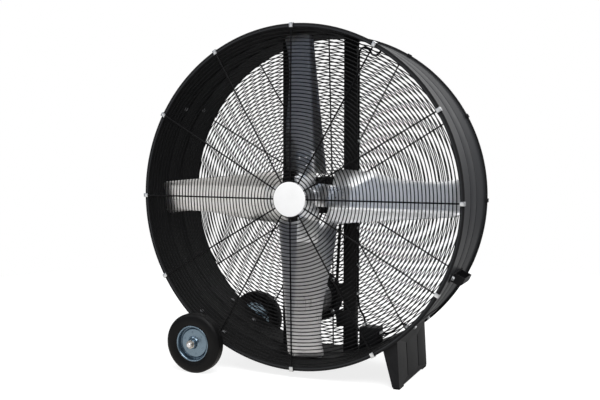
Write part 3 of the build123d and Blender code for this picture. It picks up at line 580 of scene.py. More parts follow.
drum = {
    "inner": 0.548, "outer": 0.5505, "lip": 0.560, "lipThick": 0.005, "lipRound": 0.0022, "lipRoot": 0.0015,
    "innerRound": 0.0012, "beadAt": 0.043, "beadHalf": 0.0055, "beadDeep": 0.003, "segments": 240,
}


def beadLine(radius):
    # the wall's line from front to rear, with two smooth pressed beads
    line = []
    for centre in (-drum["beadAt"], drum["beadAt"]):
        for step in range(9):
            t = -1 + step / 4
            dip = drum["beadDeep"] * 0.5 * (1 + math.cos(math.pi * t))
            line.append((radius - dip, centre + t * drum["beadHalf"]))
    return line


def drumShell():
    front, rear, edge = place["frontY"], place["rearY"], drum["lipThick"]
    inner, outer, lip, curl = drum["inner"], drum["outer"], drum["lip"], drum["lipRound"]
    inside = [(inner, front, drum["innerRound"])] + beadLine(inner) + [(inner, rear, drum["innerRound"])]
    rearLip = [(lip, rear, curl), (lip, rear - edge, curl), (outer, rear - edge, drum["lipRoot"])]
    frontLip = [(outer, front + edge, drum["lipRoot"]), (lip, front + edge, curl), (lip, front, curl)]
    outline = rounded(inside + rearLip + beadLine(outer)[::-1] + frontLip)
    obj = turned("drumShell", outline, drum["segments"], sharpAngle=40)
    return dress(obj, "drumPaint", "drum_paint", "root", "drum_shell")


drumShell()
print("drum turned")


# guards

guard = {
    "Ring Count": 47, "First Radius": 0.0134, "Last Radius": 0.548, "Ring Wire": 0.0036,
    "Radial Count": 12, "Radial Wire": 0.005, "Hub Radius": 0.010, "Wire End": 0.557,
    "Bulge": 0.0125, "Axis Height": place["axisZ"], "Segments": 144,
}
rearTurn = 1.0   # degrees, as the rear guard sits


def wired(tree, curve, radius, sides, capped=False):
    # a round wire along a curve
    profile = make(tree, "GeometryNodeCurvePrimitiveCircle", {"Resolution": sides, "Radius": radius})
    return make(tree, "GeometryNodeCurveToMesh", {"Curve": curve, "Profile Curve": profile,
                                                  "Fill Caps": capped})


def guardTree():
    # ring wires on straight radial wires, on a shallow cone
    inputs = [(label, "Int" if type(value) is int else "Float", value) for label, value in guard.items()]
    tree, given, result = newTree("guardTree", "Geometry", inputs + [
        ("Way", "Float", -1.0), ("Lip Y", "Float", place["frontY"]), ("Turn", "Float", 0.0),
        ("Finish", "Material", None),
    ], [("Geometry", "Geometry")])
    span = sums(tree, "SUBTRACT", given["Wire End"], given["Hub Radius"])
    slope = sums(tree, "DIVIDE", given["Bulge"], span)

    def backAt(radius):   # how far outward of the lip the radials' backs lie
        return sums(tree, "MULTIPLY", sums(tree, "SUBTRACT", given["Wire End"], radius), slope)

    def outBy(distance):   # a distance outward, as the guard faces
        return sums(tree, "MULTIPLY", distance, given["Way"])

    gaps = sums(tree, "SUBTRACT", given["Ring Count"], 1.0)
    pitch = sums(tree, "DIVIDE", sums(tree, "SUBTRACT", given["Last Radius"], given["First Radius"]), gaps)
    along = sums(tree, "MULTIPLY", make(tree, "GeometryNodeInputIndex"), pitch)
    radius = sums(tree, "ADD", along, given["First Radius"])
    half = sums(tree, "MULTIPLY", given["Ring Wire"], 0.5)
    ringY = sums(tree, "ADD", outBy(sums(tree, "SUBTRACT", backAt(radius), half)), given["Lip Y"])
    spots = make(tree, "GeometryNodePoints", {
        "Count": given["Ring Count"], "Position": vectorOf(tree, 0.0, ringY, given["Axis Height"])})
    circle = make(tree, "GeometryNodeCurvePrimitiveCircle", {"Resolution": given["Segments"],
                                                             "Radius": 1.0})
    hoops = copied(tree, spots, circle, {
        "Rotation": (math.pi / 2, 0, 0), "Scale": vectorOf(tree, radius, radius, radius)})
    rings = wired(tree, hoops, half, 8)

    thick = sums(tree, "MULTIPLY", given["Radial Wire"], 0.5)
    ends = [vectorOf(tree, reach, outBy(sums(tree, "ADD", backAt(reach), thick)), 0.0)
            for reach in (given["Hub Radius"], given["Wire End"])]
    line = make(tree, "GeometryNodeCurvePrimitiveLine", {"Start": ends[0], "End": ends[1]})
    middle = vectorOf(tree, 0.0, given["Lip Y"], given["Axis Height"])
    seats = make(tree, "GeometryNodePoints", {"Count": given["Radial Count"], "Position": middle})
    spokes = copied(tree, seats, line, {"Rotation": evenTurn(tree, given, given["Radial Count"])})
    radials = wired(tree, spokes, thick, 12, capped=True)
    both = newNode(tree, "GeometryNodeJoinGeometry")
    join(tree, rings, both.inputs[0])
    join(tree, radials, both.inputs[0])
    real = make(tree, "GeometryNodeRealizeInstances", {0: both.outputs[0]})
    return closeTree(tree, make(tree, "GeometryNodeSetShadeSmooth", {0: real}), given, result)


trees["guard"] = guardTree()


def wireGuard(name, way, lipY, turn, node):
    obj = grown(name, trees["guard"], {**guard, "Way": way, "Lip Y": lipY, "Turn": math.radians(turn),
                                       "Finish": finish["guardPaint"]})
    return dress(obj, "guardPaint", "guard_wire", "root", node)


wireGuard("frontGuardWires", -1.0, place["frontY"], 0.0, "front_guard")
wireGuard("rearGuardWires", 1.0, place["rearY"], -rearTurn, "rear_guard")
print("guards woven")


# clips, drawn at the right of the hub with the lip at y = 0

clip = {
    "width": 0.013, "reach": 0.014, "thick": 0.002, "gap": 0.0003, "overWire": 0.0001,
    "bend": 0.0022, "innerBend": 0.0011, "ease": 0.0006,
}


def clipShape(way):
    rim = drum["lip"] + clip["gap"]
    inner, hook = rim - clip["reach"], rim - clip["reach"] / 2
    slope = guard["Bulge"] / (guard["Wire End"] - guard["Hub Radius"])
    top = slope * (guard["Wire End"] - inner) + guard["Radial Wire"] + clip["overWire"]
    behind = -drum["lipThick"] - clip["gap"]
    t, bend, inBend = clip["thick"], clip["bend"], clip["innerBend"]
    outline = rounded([
        (inner, top), (rim, top, inBend), (rim, behind, inBend), (hook, behind), (hook, behind - t),
        (rim + t, behind - t, bend), (rim + t, top + t, bend), (inner, top + t)], 5)
    form = bmesh.new()
    skin(form, [[form.verts.new((r, way * y, side * clip["width"] / 2)) for r, y in outline]
                for side in (-1, 1)])
    return easeEdges(fromBmesh("clipShape", form), clip["ease"], 50, 40)


def guardClips(name, way, lipY, turn, look, slot, node):
    piece = clipShape(way)
    obj = grown(name, trees["roundAxis"], {
        "Piece": piece, "Count": guard["Radial Count"], "Turn": math.radians(turn),
        "Centre": (0.0, lipY, place["axisZ"]), "Finish": finish[look]})
    removed(piece)
    return dress(obj, look, slot, "root", node)


guardClips("frontClips", -1, place["frontY"], 0.0, "zinc", "zinc", "front_guard_clips")
guardClips("rearClips", 1, place["rearY"], rearTurn, "clipPaint", "clip_paint", "rear_guard_clips")


# badge: bare, with a soft edge and a faint crown

badge = {"radius": 0.056, "backY": -0.1875, "thick": 0.003, "edge": 0.0011, "crown": 0.0003,
         "crownAt": (0.5, 0.3)}   # half way out, the face has fallen by 0.3 of the crown


def badgeDisc():
    r, back, (out, fall) = badge["radius"], badge["backY"], badge["crownAt"]
    face = back - badge["thick"]
    outline = rounded([
        (0.0, back), (r, back), (r, face + badge["crown"], badge["edge"]),
        (out * r, face + fall * badge["crown"]), (0.0, face)], 6)
    return dress(turned("badgeDisc", outline, 96, sharpAngle=50), "badgeWhite", "badge", "root", "badge")


badgeDisc()


# blades, bent from sheet

blade = {
    "sheet": 0.0025, "root": 0.083, "tip": 0.535, "pitch": 15.0, "rake": 5.3,
    "fold": 0.033, "foldAngle": 17.0, "foldHalf": 0.006, "frontRoot": 0.094, "frontTip": 0.047,
    "frontCorner": 0.020, "rearCorner": 0.028, "rootCorner": 0.003, "centreY": -0.036,
    "rearEdge": ((0.083, 0.098), (0.241, 0.084), (0.400, 0.061), (0.535, 0.076)), "rearSteps": 24,
    "creaseFrom": (-0.010, 0.110), "creaseTo": (-0.088, 0.262), "creaseAngle": 9.0, "creaseHalf": 0.003,
    "widthCuts": (-0.05, -0.02, 0.01, 0.055, 0.075), "lengthCut": 0.03, "grainShift": 0.3,
}


def bladeMatrix(k):
    # X towards the front edge, Y outward, Z to the front, then a quarter turn for each blade
    pitch, rake = math.radians(blade["pitch"]), math.radians(blade["rake"])
    across = Vector((math.cos(pitch), -math.sin(pitch), 0))
    out = Vector((0, -math.sin(rake), math.cos(rake)))
    normal = across.cross(out).normalized()
    side = out.cross(normal)
    basis = Matrix((side, out, normal)).transposed().to_4x4()
    first = Matrix.Translation((0, blade["centreY"], place["axisZ"])) @ basis
    around = Matrix.Translation(hub) @ Matrix.Rotation(math.pi / 2 * k, 4, "Y") @ Matrix.Translation(-hub)
    return around @ first


def smoothThrough(points, at):
    # the height at a place on the one cubic through four points
    total = 0.0
    for k, (here, height) in enumerate(points):
        share = height
        for m, (other, _) in enumerate(points):
            if m != k:
                share *= (at - other) / (here - other)
        total += share
    return total


def bladeOutline():
    root, tip, corner, steps = blade["root"], blade["tip"], blade["rearCorner"], blade["rearSteps"]
    places = [root + (tip - root) * step / steps for step in range(steps + 1)]
    outline = [(-smoothThrough(blade["rearEdge"], y), y) for y in places if y < tip - 1.2 * corner]
    outline += [(-smoothThrough(blade["rearEdge"], tip), tip, corner),
                (blade["frontTip"], tip, blade["frontCorner"]),
                (blade["frontRoot"], root, blade["rootCorner"])]
    return rounded(outline, 10)


def bentPast(past, half, angle):
    # how far a sheet has left its plane, a distance past the middle of a bend
    slope = math.tan(math.radians(angle))
    if past <= -half:
        return 0.0
    if past >= half:
        return slope * past
    return slope * (past + half) ** 2 / (4 * half)


def acrossCrease():
    # where the slanting crease starts, and the way that leads over it, towards the root's rear corner
    start, end = Vector(blade["creaseFrom"]), Vector(blade["creaseTo"])
    along = (end - start).normalized()
    return start, Vector((-along.y, along.x))


def bladeLift(x, y):
    start, across = acrossCrease()
    fold = bentPast(x - blade["fold"], blade["foldHalf"], blade["foldAngle"])
    corner = bentPast((Vector((x, y)) - start).dot(across), blade["creaseHalf"], blade["creaseAngle"])
    return fold - corner


def bentSheet(name, outline, cuts, lift, thick):
    # a flat outline cut where it bends, lifted to its form and given its thickness and eased edges
    form = bmesh.new()
    form.faces.new([form.verts.new((x, y, 0)) for x, y in outline])
    for spot, across in cuts:
        bmesh.ops.bisect_plane(form, geom=form.verts[:] + form.edges[:] + form.faces[:],
                               plane_co=(*spot, 0), plane_no=(*across, 0))
    for v in form.verts:
        v.co.z = lift(v.co.x, v.co.y)
    obj = fromBmesh(name, form)
    wall = obj.modifiers.new("wall", "SOLIDIFY")
    wall.thickness = thick
    wall.offset = 0.0
    wall.use_even_offset = True
    return easeEdges(obj, 0.0005, 60, 25)


def straightCuts(widths, lengths):
    return [((x, 0.0), (1, 0)) for x in widths] + [((0.0, y), (0, 1)) for y in lengths]


def bladeCuts():
    fold, half = blade["fold"], blade["foldHalf"]
    widths = [fold + half * (-1 + step / 4) for step in range(9)]
    widths += [fold - 1.5 * half, fold + 1.5 * half, *blade["widthCuts"]]
    cuts = straightCuts(widths, [blade["root"] + blade["lengthCut"] * n for n in range(1, 15)])
    start, across = acrossCrease()
    offsets = [blade["creaseHalf"] * share for share in (-2, -1, -0.5, 0, 0.5, 1, 2)]
    return cuts + [(start + across * off, across) for off in offsets]


def bladeSheet(k):
    obj = bentSheet(f"bladeSheet{k + 1}", bladeOutline(), bladeCuts(), bladeLift, blade["sheet"])
    spots = obj.data.attributes.new("bladePlace", "FLOAT_VECTOR", "POINT")
    shift = Vector((0, 0, blade["grainShift"] * k))   # gives each blade its own grain
    spots.data.foreach_set("vector", [c for v in obj.data.vertices for c in v.co + shift])
    obj.data.transform(bladeMatrix(k))
    return dress(obj, "bladeSheet", "blade_steel", "rotor", f"blade_{k + 1}")


for k in range(4):
    bladeSheet(k)

rivet = {"radius": 0.005, "high": 0.003, "row": 0.131, "pitch": 0.028, "inner": 0.104, "arm": 0.004}


def bladeRivets():
    head = domedHead("rivetHead", rivet["radius"], rivet["high"], 16)
    seat = blade["sheet"] / 2 + rivet["arm"]
    spots = [(x, rivet["row"]) for x in (-rivet["pitch"], 0.0, rivet["pitch"])] + [(0.0, rivet["inner"])]
    stations = []
    for k in range(4):
        at = bladeMatrix(k)
        stations += [(at @ Vector((x, y, seat)), at.to_3x3() @ Vector((0, 0, 1))) for x, y in spots]
    onStations("bladeRivets", stations, head, "zinc", "spider_steel", "rotor", ["blade_rivets"])
    removed(head)


bladeRivets()

spider = {
    "front": 0.032, "rear": 0.042, "tip": 0.153, "corner": 0.005, "thick": 0.004, "flatTo": 0.064,
    "turnedFrom": 0.080, "widthCuts": (-0.03, -0.018, -0.006, 0.006, 0.018), "lengthCut": 0.002,
    "boss": 0.037, "bossFront": -0.072, "bossRear": -0.016, "bossRound": 0.002, "bore": 0.0126,
}


def spiderLift(x, y):
    # flat to the front round the boss, then turned to the blade's pitch
    at = bladeMatrix(0).to_3x3()
    side, out, normal = (at.col[m].dot(Vector((0, -1, 0))) for m in range(3))
    seat = (blade["sheet"] + spider["thick"]) / 2
    flat = seat - (x * side + (y - spider["turnedFrom"]) * out) / normal
    t = (y - spider["flatTo"]) / (spider["turnedFrom"] - spider["flatTo"])
    t = min(max(t, 0.0), 1.0)
    t = t * t * (3 - 2 * t)
    return flat * (1 - t) + seat * t


def spiderArm(k):
    front, rear, tip, corner = spider["front"], spider["rear"], spider["tip"], spider["corner"]
    outline = rounded([(0, 0), (front, front), (front, tip, corner), (-rear, tip, corner), (-rear, rear)])
    lengths = [spider["flatTo"] + spider["lengthCut"] * n for n in range(-1, 10)]
    cuts = straightCuts(spider["widthCuts"], lengths)
    obj = bentSheet(f"spiderArm{k + 1}", outline, cuts, spiderLift, spider["thick"])
    obj.data.transform(bladeMatrix(k))
    return obj


def spiderPlate():
    # four arms and the boss as one piece
    bore, boss, soft = spider["bore"], spider["boss"], spider["bossRound"]
    front, rear = spider["bossFront"], spider["bossRear"]
    outline = rounded([(bore, front), (boss, front, soft), (boss, rear, soft), (bore, rear)])
    parts = [spiderArm(k) for k in range(4)] + [turned("spiderBoss", outline, 72)]
    return dress(merged("spiderPlate", parts, 25), "spiderSteel", "spider_steel", "rotor", "spider")


spiderPlate()
print("rotor dressed")


# shafts, pulleys and belt

drive = {
    "shaft": 0.0125, "shaftFront": -0.078, "shaftEnd": 0.134, "motorShaft": 0.008, "motorShaftFrom": 0.0643,
    "beltY": 0.120, "pulleyHalf": 0.010, "fanPitch": 0.062, "motorPitch": 0.042, "recess": 0.004,
    "hubWall": 0.010, "webWall": 0.004, "abovePitch": 0.003, "beltHigh": 0.008, "beltTop": 0.013,
    "beltRound": 0.0008, "groove": 19.0, "beltGap": 0.0003, "floorGap": 0.002, "chords": 40,
}


def steelBar(name, radius, front, rear, x, z, body, node, chamfer=0.0012, segments=48):
    outline = [(0.0, front), (radius - chamfer, front), (radius, front + chamfer),
               (radius, rear - chamfer), (radius - chamfer, rear), (0.0, rear)]
    return dress(turned(name, outline, segments, x, z, 30), "drawnSteel", "steel", body, node)


def beltHalf(above, grow=0.0):
    # half the belt's width at a height above its pitch line
    slope = math.tan(math.radians(drive["groove"]))
    return drive["beltTop"] / 2 + (above - drive["abovePitch"]) * slope + grow


def pulley(name, pitch, shaft, z, body, node):
    rim = pitch + drive["abovePitch"]
    floor = rim - drive["beltHigh"] - drive["floorGap"]
    top, low = beltHalf(drive["abovePitch"], drive["beltGap"]), beltHalf(floor - pitch, drive["beltGap"])
    y, half, deep = drive["beltY"], drive["pulleyHalf"], drive["recess"]
    hubOut, webOut = shaft + drive["hubWall"], floor - drive["webWall"]
    side = [(floor, low, 0.0005), (rim, top, 0.0006), (rim, half, 0.001), (webOut, half, 0.0008),
            (webOut, half - deep, 0.001), (hubOut, half - deep, 0.001), (hubOut, half, 0.0008),
            (shaft, half, 0.0)]
    both = [(r, -w, size) for r, w, size in side[::-1]] + side
    outline = [(r, y + w) for r, w in rounded(both, 3)]
    return dress(turned(name, outline, 72, z=z), "pulleyIron", "pulley_iron", body, node)


def vBelt():
    drop = place["axisZ"] - place["motorZ"]
    lean = math.asin((drive["fanPitch"] - drive["motorPitch"]) / drop)
    above, below = drive["abovePitch"], drive["abovePitch"] - drive["beltHigh"]
    corners = rounded([(above, -beltHalf(above)), (above, beltHalf(above)),
                       (below, beltHalf(below)), (below, -beltHalf(below))], 2, drive["beltRound"])
    form = bmesh.new()
    rings = []
    wraps = ((drive["fanPitch"], place["axisZ"], -lean, math.pi + 2 * lean),
             (drive["motorPitch"], place["motorZ"], math.pi + lean, math.pi - 2 * lean))
    for pitch, z, start, sweep in wraps:
        for k in range(drive["chords"] + 1):
            a = start + sweep * k / drive["chords"]
            rings.append([form.verts.new(((pitch + h) * math.cos(a), drive["beltY"] + w,
                                          z + (pitch + h) * math.sin(a))) for h, w in corners])
    skin(form, rings, looped=True)
    return dress(fromBmesh("vBelt", form), "beltRubber", "belt_rubber", "root", "belt")


steelBar("fanShaftBar", drive["shaft"], drive["shaftFront"], drive["shaftEnd"], 0.0, place["axisZ"],
         "rotor", "fan_shaft")
steelBar("motorShaftBar", drive["motorShaft"], drive["motorShaftFrom"], drive["shaftEnd"], 0.0,
         place["motorZ"], "motor_rotor", "motor_shaft")
pulley("fanPulleyWheel", drive["fanPitch"], drive["shaft"], place["axisZ"], "rotor", "fan_pulley")
pulley("motorPulleyWheel", drive["motorPitch"], drive["motorShaft"], place["motorZ"],
       "motor_rotor", "motor_pulley")
vBelt()


# motor

motor = {
    "radius": 0.068, "front": -0.005, "rear": 0.098, "bell": 0.014, "bellFace": 0.057, "bellStep": 0.001,
    "ring": 0.050, "ringWide": 0.006, "ringHigh": 0.003, "frontBoss": 0.022, "rearBoss": 0.024,
    "bossSlope": 0.002, "frontBossHigh": 0.0022, "rearBossHigh": 0.002, "flange": 0.087, "flangeAt": 0.056,
    "flangeThick": 0.004, "studs": 0.0785, "shaftHole": 0.0082, "holeDeep": 0.020, "bellHole": 0.0081,
    "segments": 96,
}


def motorPiece(name, outline, look, slot, node):
    obj = turned(name, rounded(outline), motor["segments"], z=place["motorZ"])
    return dress(obj, look, slot, "root", node)


def motorCase():
    front, rear = motor["front"] + motor["bell"], motor["rear"] - motor["bell"]
    r, seat, wide, hole = motor["radius"], motor["flangeAt"], motor["flange"], motor["shaftHole"]
    back, end = seat + motor["flangeThick"], rear - motor["holeDeep"]
    return motorPiece("motorCase", [
        (0.0, front), (r, front), (r, seat, 0.002), (wide, seat, 0.0012), (wide, back, 0.0012),
        (r, back, 0.002), (r, rear), (hole, rear), (hole, end), (0.0, end)],
        "motorPaint", "motor_paint", "motor_body")


def motorBells():
    r, ring, wide, high = motor["bellFace"], motor["ring"], motor["ringWide"], motor["ringHigh"]
    rim, step, slope = motor["radius"], motor["bellStep"], motor["bossSlope"]
    back, face = motor["front"] + motor["bell"], motor["front"]
    boss, top = motor["frontBoss"], face - motor["frontBossHigh"]
    motorPiece("motorFrontBell", [
        (0.0, back), (rim, back, 0.0004), (rim - step, back - 3 * step, 0.002), (r, face, 0.003),
        (ring + wide, face, 0.0006), (ring + wide, face - high, 0.0012), (ring, face - high, 0.0012),
        (ring, face, 0.0012), (boss, face, 0.0008), (boss - slope, top, 0.0008), (0.0, top)],
        "bellAluminium", "motor_bell", "motor_front_bell")
    back, face, hole = motor["rear"] - motor["bell"], motor["rear"], motor["bellHole"]
    boss, top = motor["rearBoss"], face - motor["rearBossHigh"]
    motorPiece("motorRearBell", [
        (hole, back), (rim, back, 0.0004), (rim - step, back + 3 * step, 0.002), (r, face, 0.003),
        (boss, face, 0.001), (boss - slope, top, 0.001), (hole, top, 0.0004)],
        "bellAluminium", "motor_bell", "motor_rear_bell")


def motorBolts():
    heads, nuts = [], []
    for angle in (45, 135, 225, 315):
        a = math.radians(angle)
        x, z = motor["studs"] * math.cos(a), place["motorZ"] + motor["studs"] * math.sin(a)
        heads.append((Vector((x, motor["flangeAt"] - bolt["headHigh"], z)), Vector((0, -1, 0))))
        nuts.append((Vector((x, motor["flangeAt"] + motor["flangeThick"], z)), Vector((0, 1, 0))))
    onStations("motorBoltHeads", heads, boltHead, "zinc", "zinc", "root", ["motor_bolts"], seed=3)
    onStations("motorBoltNuts", nuts, boltNut, "zinc", "zinc", "root", ["motor_bolts"], seed=4)


motorCase()
motorBells()
motorBolts()
print("motor dressed")


# drum bolts: domed heads inside, nuts outside

clamp = {
    "railX": 0.114, "railY": (0.106, 0.138), "railSheet": 0.0034,
    "bracketAngles": (-132.5, -121.0), "bracketY": 0.112, "bracketSheet": 0.004,
    "footAngle": -46.09, "footY": 0.080, "footSheet": 0.003,
    "handleAngles": (-25.7, 146.8), "handleY": 0.060, "handleSheet": 0.0025, "nutSink": 0.0002,
}


def boltStations():
    # angle, y, and the sheet under the head and under the nut
    tilt = math.degrees(math.acos(clamp["railX"] / drum["inner"]))
    found = []
    for angle in (tilt, 180 - tilt, 180 + tilt, -tilt):
        found += [(angle, y, clamp["railSheet"], 0.0) for y in clamp["railY"]]
    for angles, piece in ((clamp["bracketAngles"], "bracket"), ((clamp["footAngle"],), "foot"),
                          (clamp["handleAngles"], "handle")):
        for angle in angles:
            found += [(angle, side * clamp[piece + "Y"], 0.0, clamp[piece + "Sheet"]) for side in (-1, 1)]
    return found


def drumBolts():
    heads, nuts = [], []
    for angle, y, inside, outside in boltStations():
        out = (drumSpot(angle, y, 1.0) - drumSpot(angle, y, 0.0)).normalized()
        heads.append((drumSpot(angle, y, drum["inner"] - inside), -out))
        nuts.append((drumSpot(angle, y, drum["outer"] + outside - clamp["nutSink"]), out))
    onStations("drumBoltHeads", heads, boltHead, "darkZinc", "zinc", "root", ["drum_bolts"], seed=5)
    onStations("drumBoltNuts", nuts, boltNut, "zinc", "zinc", "root", ["drum_bolts"], seed=6)


drumBolts()
removed(boltHead)
removed(boltNut)


# wheels

wheel = {
    "radius": 0.100, "tyreInner": 0.060, "beadHalf": 0.019, "half": 0.024, "sideRadius": 0.076,
    "shoulder": 0.093, "shoulderIn": 0.003, "treadHalf": 0.014, "grooves": (0.007, -0.007),
    "grooveHalf": 0.0012, "grooveDeep": 0.0022, "flange": 0.060, "sheet": 0.003, "wall": 0.0545,
    "disc": 0.0475, "discAt": 0.006, "channelAt": 0.000, "boss": 0.015, "bossHalf": 0.027, "bore": 0.0081,
    "dimples": 6, "dimpleAt": 0.036, "dimpleRadius": 0.0028, "dimpleHigh": 0.0014, "dimpleSink": 0.0002,
    "dimpleTurn": 40.0, "segments": 96,
}


def onAxle(name, side, outline, sharpAngle, look, slot, label, part):
    # a turned piece of the front (-1) or rear (1) wheel, from (radius, outward) points
    y = side * place["wheelY"]
    obj = turned(name, [(r, y + side * w) for r, w in rounded(outline, 5)], wheel["segments"],
                 place["wheelX"], place["wheelZ"], sharpAngle)
    return dress(obj, look, slot, f"{label}_wheel", f"{label}_{part}")


def tyreOutline():
    half, rad, w = wheel["half"], wheel["radius"], wheel["grooveHalf"]
    right = [(wheel["tyreInner"], wheel["beadHalf"], 0.002), (wheel["sideRadius"], half, 0.008),
             (wheel["shoulder"], half - wheel["shoulderIn"], 0.006), (rad, wheel["treadHalf"], 0.004)]
    tread = []
    for g in wheel["grooves"]:
        floor = rad - wheel["grooveDeep"]
        tread += [(rad, g + w, 0.0006), (floor, g + 0.5 * w, 0.0004),
                  (floor, g - 0.5 * w, 0.0004), (rad, g - w, 0.0006)]
    return right + tread + [(r, -w, c) for r, w, c in right[::-1]]


def rimOutline():
    seat, bead, sheet, wall = wheel["flange"], wheel["beadHalf"], wheel["sheet"], wheel["wall"]
    disc, web, channel = wheel["disc"], wheel["discAt"], wheel["channelAt"]
    boss, long, bore = wheel["boss"], wheel["bossHalf"], wheel["bore"]
    return [
        (bore, long), (boss, long, 0.0015), (boss, web + 0.005, 0.003), (boss + 0.007, web, 0.005),
        (disc, web, 0.0020), (disc + 0.0025, channel, 0.0020), (wall - 0.0006, channel, 0.0018),
        (wall, bead - 0.0015, 0.0020), (seat - 0.0028, bead + 0.0012, 0.0016),
        (seat, bead + 0.0004, 0.0014), (seat, -bead, 0.0012),
        (seat - sheet, -bead, 0.0012), (seat - sheet, channel - sheet, 0.003),
        (disc, channel - sheet, 0.002), (disc - 0.002, web - sheet, 0.002), (boss, web - sheet, 0.002),
        (boss, -long, 0.0012), (bore, -long)]


def rimStuds(side, label):
    # small pressed domes round the web
    head = domedHead("webDome", wheel["dimpleRadius"], wheel["dimpleHigh"], 16)
    y = side * (place["wheelY"] + wheel["discAt"] - wheel["dimpleSink"])
    centre = Vector((place["wheelX"], y, place["wheelZ"]))
    stations = []
    for k in range(wheel["dimples"]):
        a = math.radians(wheel["dimpleTurn"]) + 2 * math.pi * k / wheel["dimples"]
        at = centre + Vector((math.cos(a), 0, math.sin(a))) * wheel["dimpleAt"]
        stations.append((at, Vector((0, side, 0))))
    onStations(f"{label}RimStuds", stations, head, "rimPaint", "rim_paint", f"{label}_wheel", seed=8)
    removed(head)


for side, label in ((-1, "front"), (1, "rear")):
    onAxle(f"{label}TyreRing", side, tyreOutline(), 40, "tyreRubber", "tyre", label, "tyre")
    onAxle(f"{label}RimDisc", side, rimOutline(), 35, "rimPaint", "rim_paint", label, "rim")
    rimStuds(side, label)

axle = {"radius": 0.008, "end": 0.272, "chamfer": 0.0015, "segments": 40}
steelBar("axleBar", axle["radius"], -axle["end"], axle["end"], place["wheelX"], place["wheelZ"],
         "root", "axle", axle["chamfer"], axle["segments"])
print("wheels dressed")


# pieces that keep their packed form, with eased edges

keptForms = (
    # name, nodes, look, slot, width and steps of an eased edge, edge angle, and a body that isn't the root
    ("shaftBolt", ["shaft_bolt"], "blackBolt", "black_bolt", 0.0008, 2, 20, "rotor"),
    ("frontBearing", ["bearing_front"], "bearingIron", "bearing_iron", 0.0018, 3, 28),
    ("rearBearing", ["bearing_rear"], "bearingIron", "bearing_iron", 0.0018, 3, 28),
    ("bearingPlates", ["bearing_plate_front", "bearing_plate_rear"], "framePaint", "frame_paint",
     0.0010, 2, 30),
    ("uprightRails", ["rail_left", "rail_right"], "framePaint", "frame_paint", 0.0010, 2, 30),
    ("motorCarrier", ["motor_plate"], "framePaint", "frame_paint", 0.0010, 2, 30),
    ("axleWashers", ["axle_washers"], "dullZinc", "zinc", 0.0005, 2, 50),
    ("axleNuts", ["axle_nuts"], "dullZinc", "zinc", 0.0009, 2, 40),
    ("axleBrackets", ["axle_bracket_front", "axle_bracket_rear"], "framePaint", "frame_paint",
     0.0010, 2, 35),
    ("foldedFoot", ["foot"], "footPaint", "drum_paint", 0.0012, 2, 25),
    ("footPads", ["foot_pads"], "padRubber", "pad_rubber", 0.0015, 3, 30),
    ("handlePockets", ["handle_left", "handle_right"], "framePaint", "drum_paint", 0.0010, 2, 25),
    ("junctionCase", ["junction_box"], "boxPlastic", "box_plastic", 0.0030, 4, 30),
    ("caseLid", ["box_lid"], "boxPlastic", "box_plastic", 0.0012, 3, 30),
    ("cableGlands", ["glands"], "zinc", "zinc", 0.0012, 2, 30),
    ("leadClips", ["lead_clips"], "zinc", "zinc", 0.0008, 2, 30),
)


def softened(name, nodes, look, slot, width, segments, edgeAngle, body="root"):
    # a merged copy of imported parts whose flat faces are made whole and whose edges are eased
    form = bmesh.new()
    for node in nodes:
        form.from_mesh(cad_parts[node].data)
    bmesh.ops.remove_doubles(form, verts=form.verts, dist=2 * touching)
    bmesh.ops.dissolve_limit(form, angle_limit=math.radians(1.0), verts=form.verts, edges=form.edges)
    obj = fromBmesh(name, form, edgeAngle, faceOut=False)
    return dress(easeEdges(obj, width, edgeAngle, edgeAngle, segments), look, slot, body, *nodes)


for piece in keptForms:
    softened(*piece)


# leads of the junction box

leads = {
    "radius": 0.0035,
    "upper": [(0.166, 0.072, 0.152), (0.166, 0.072, 0.170), (0.1405, 0.072, 0.204), (0.1405, 0.072, 0.300),
              (0.1405, 0.072, 0.640), (0.1405, 0.072, 1.040), (0.1405, 0.072, 1.076), (0.156, 0.072, 1.090),
              (0.178, 0.072, 1.080), (0.188, 0.072, 1.058)],
    "lower": [(0.234, 0.072, 0.120), (0.252, 0.072, 0.120), (0.278, 0.072, 0.140)],
    "upperEnd": 66.0, "lowerEnd": -54.0, "glandY": 0.072, "seat": 0.0143, "lastRun": 0.014,
}


def heldLead(name, points):
    # a round tube along a curve that given points guide
    line = bpy.data.curves.new(name, "CURVE")
    line.dimensions = "3D"
    line.bevel_depth = leads["radius"]
    line.bevel_resolution = 3
    line.use_fill_caps = True
    spline = line.splines.new("NURBS")
    spline.points.add(len(points) - 1)
    for point, spot in zip(spline.points, points):
        point.co = (*spot, 1.0)
    spline.order_u = 3
    spline.use_endpoint_u = True
    spline.resolution_u = 10
    tube = linked(name, line)
    view = bpy.context.evaluated_depsgraph_get()
    mesh = bpy.data.meshes.new_from_object(tube.evaluated_get(view), depsgraph=view)
    form = bmesh.new()
    form.from_mesh(mesh)
    removed(tube)
    bpy.data.meshes.remove(mesh)
    bmesh.ops.remove_doubles(form, verts=form.verts, dist=touching)
    return fromBmesh(name, form)


def boxLeads():
    tubes = []
    seat = drum["inner"] - leads["seat"]
    for name in ("upper", "lower"):
        angle = leads[name + "End"]
        ends = [drumSpot(angle, leads["glandY"], radius) for radius in (seat - leads["lastRun"], seat)]
        tubes.append(heldLead(name + "Lead", leads[name] + ends))
    return dress(merged("boxLeads", tubes, 45), "leadRubber", "lead_rubber", "root", "box_leads")


boxLeads()
print("box and leads dressed")
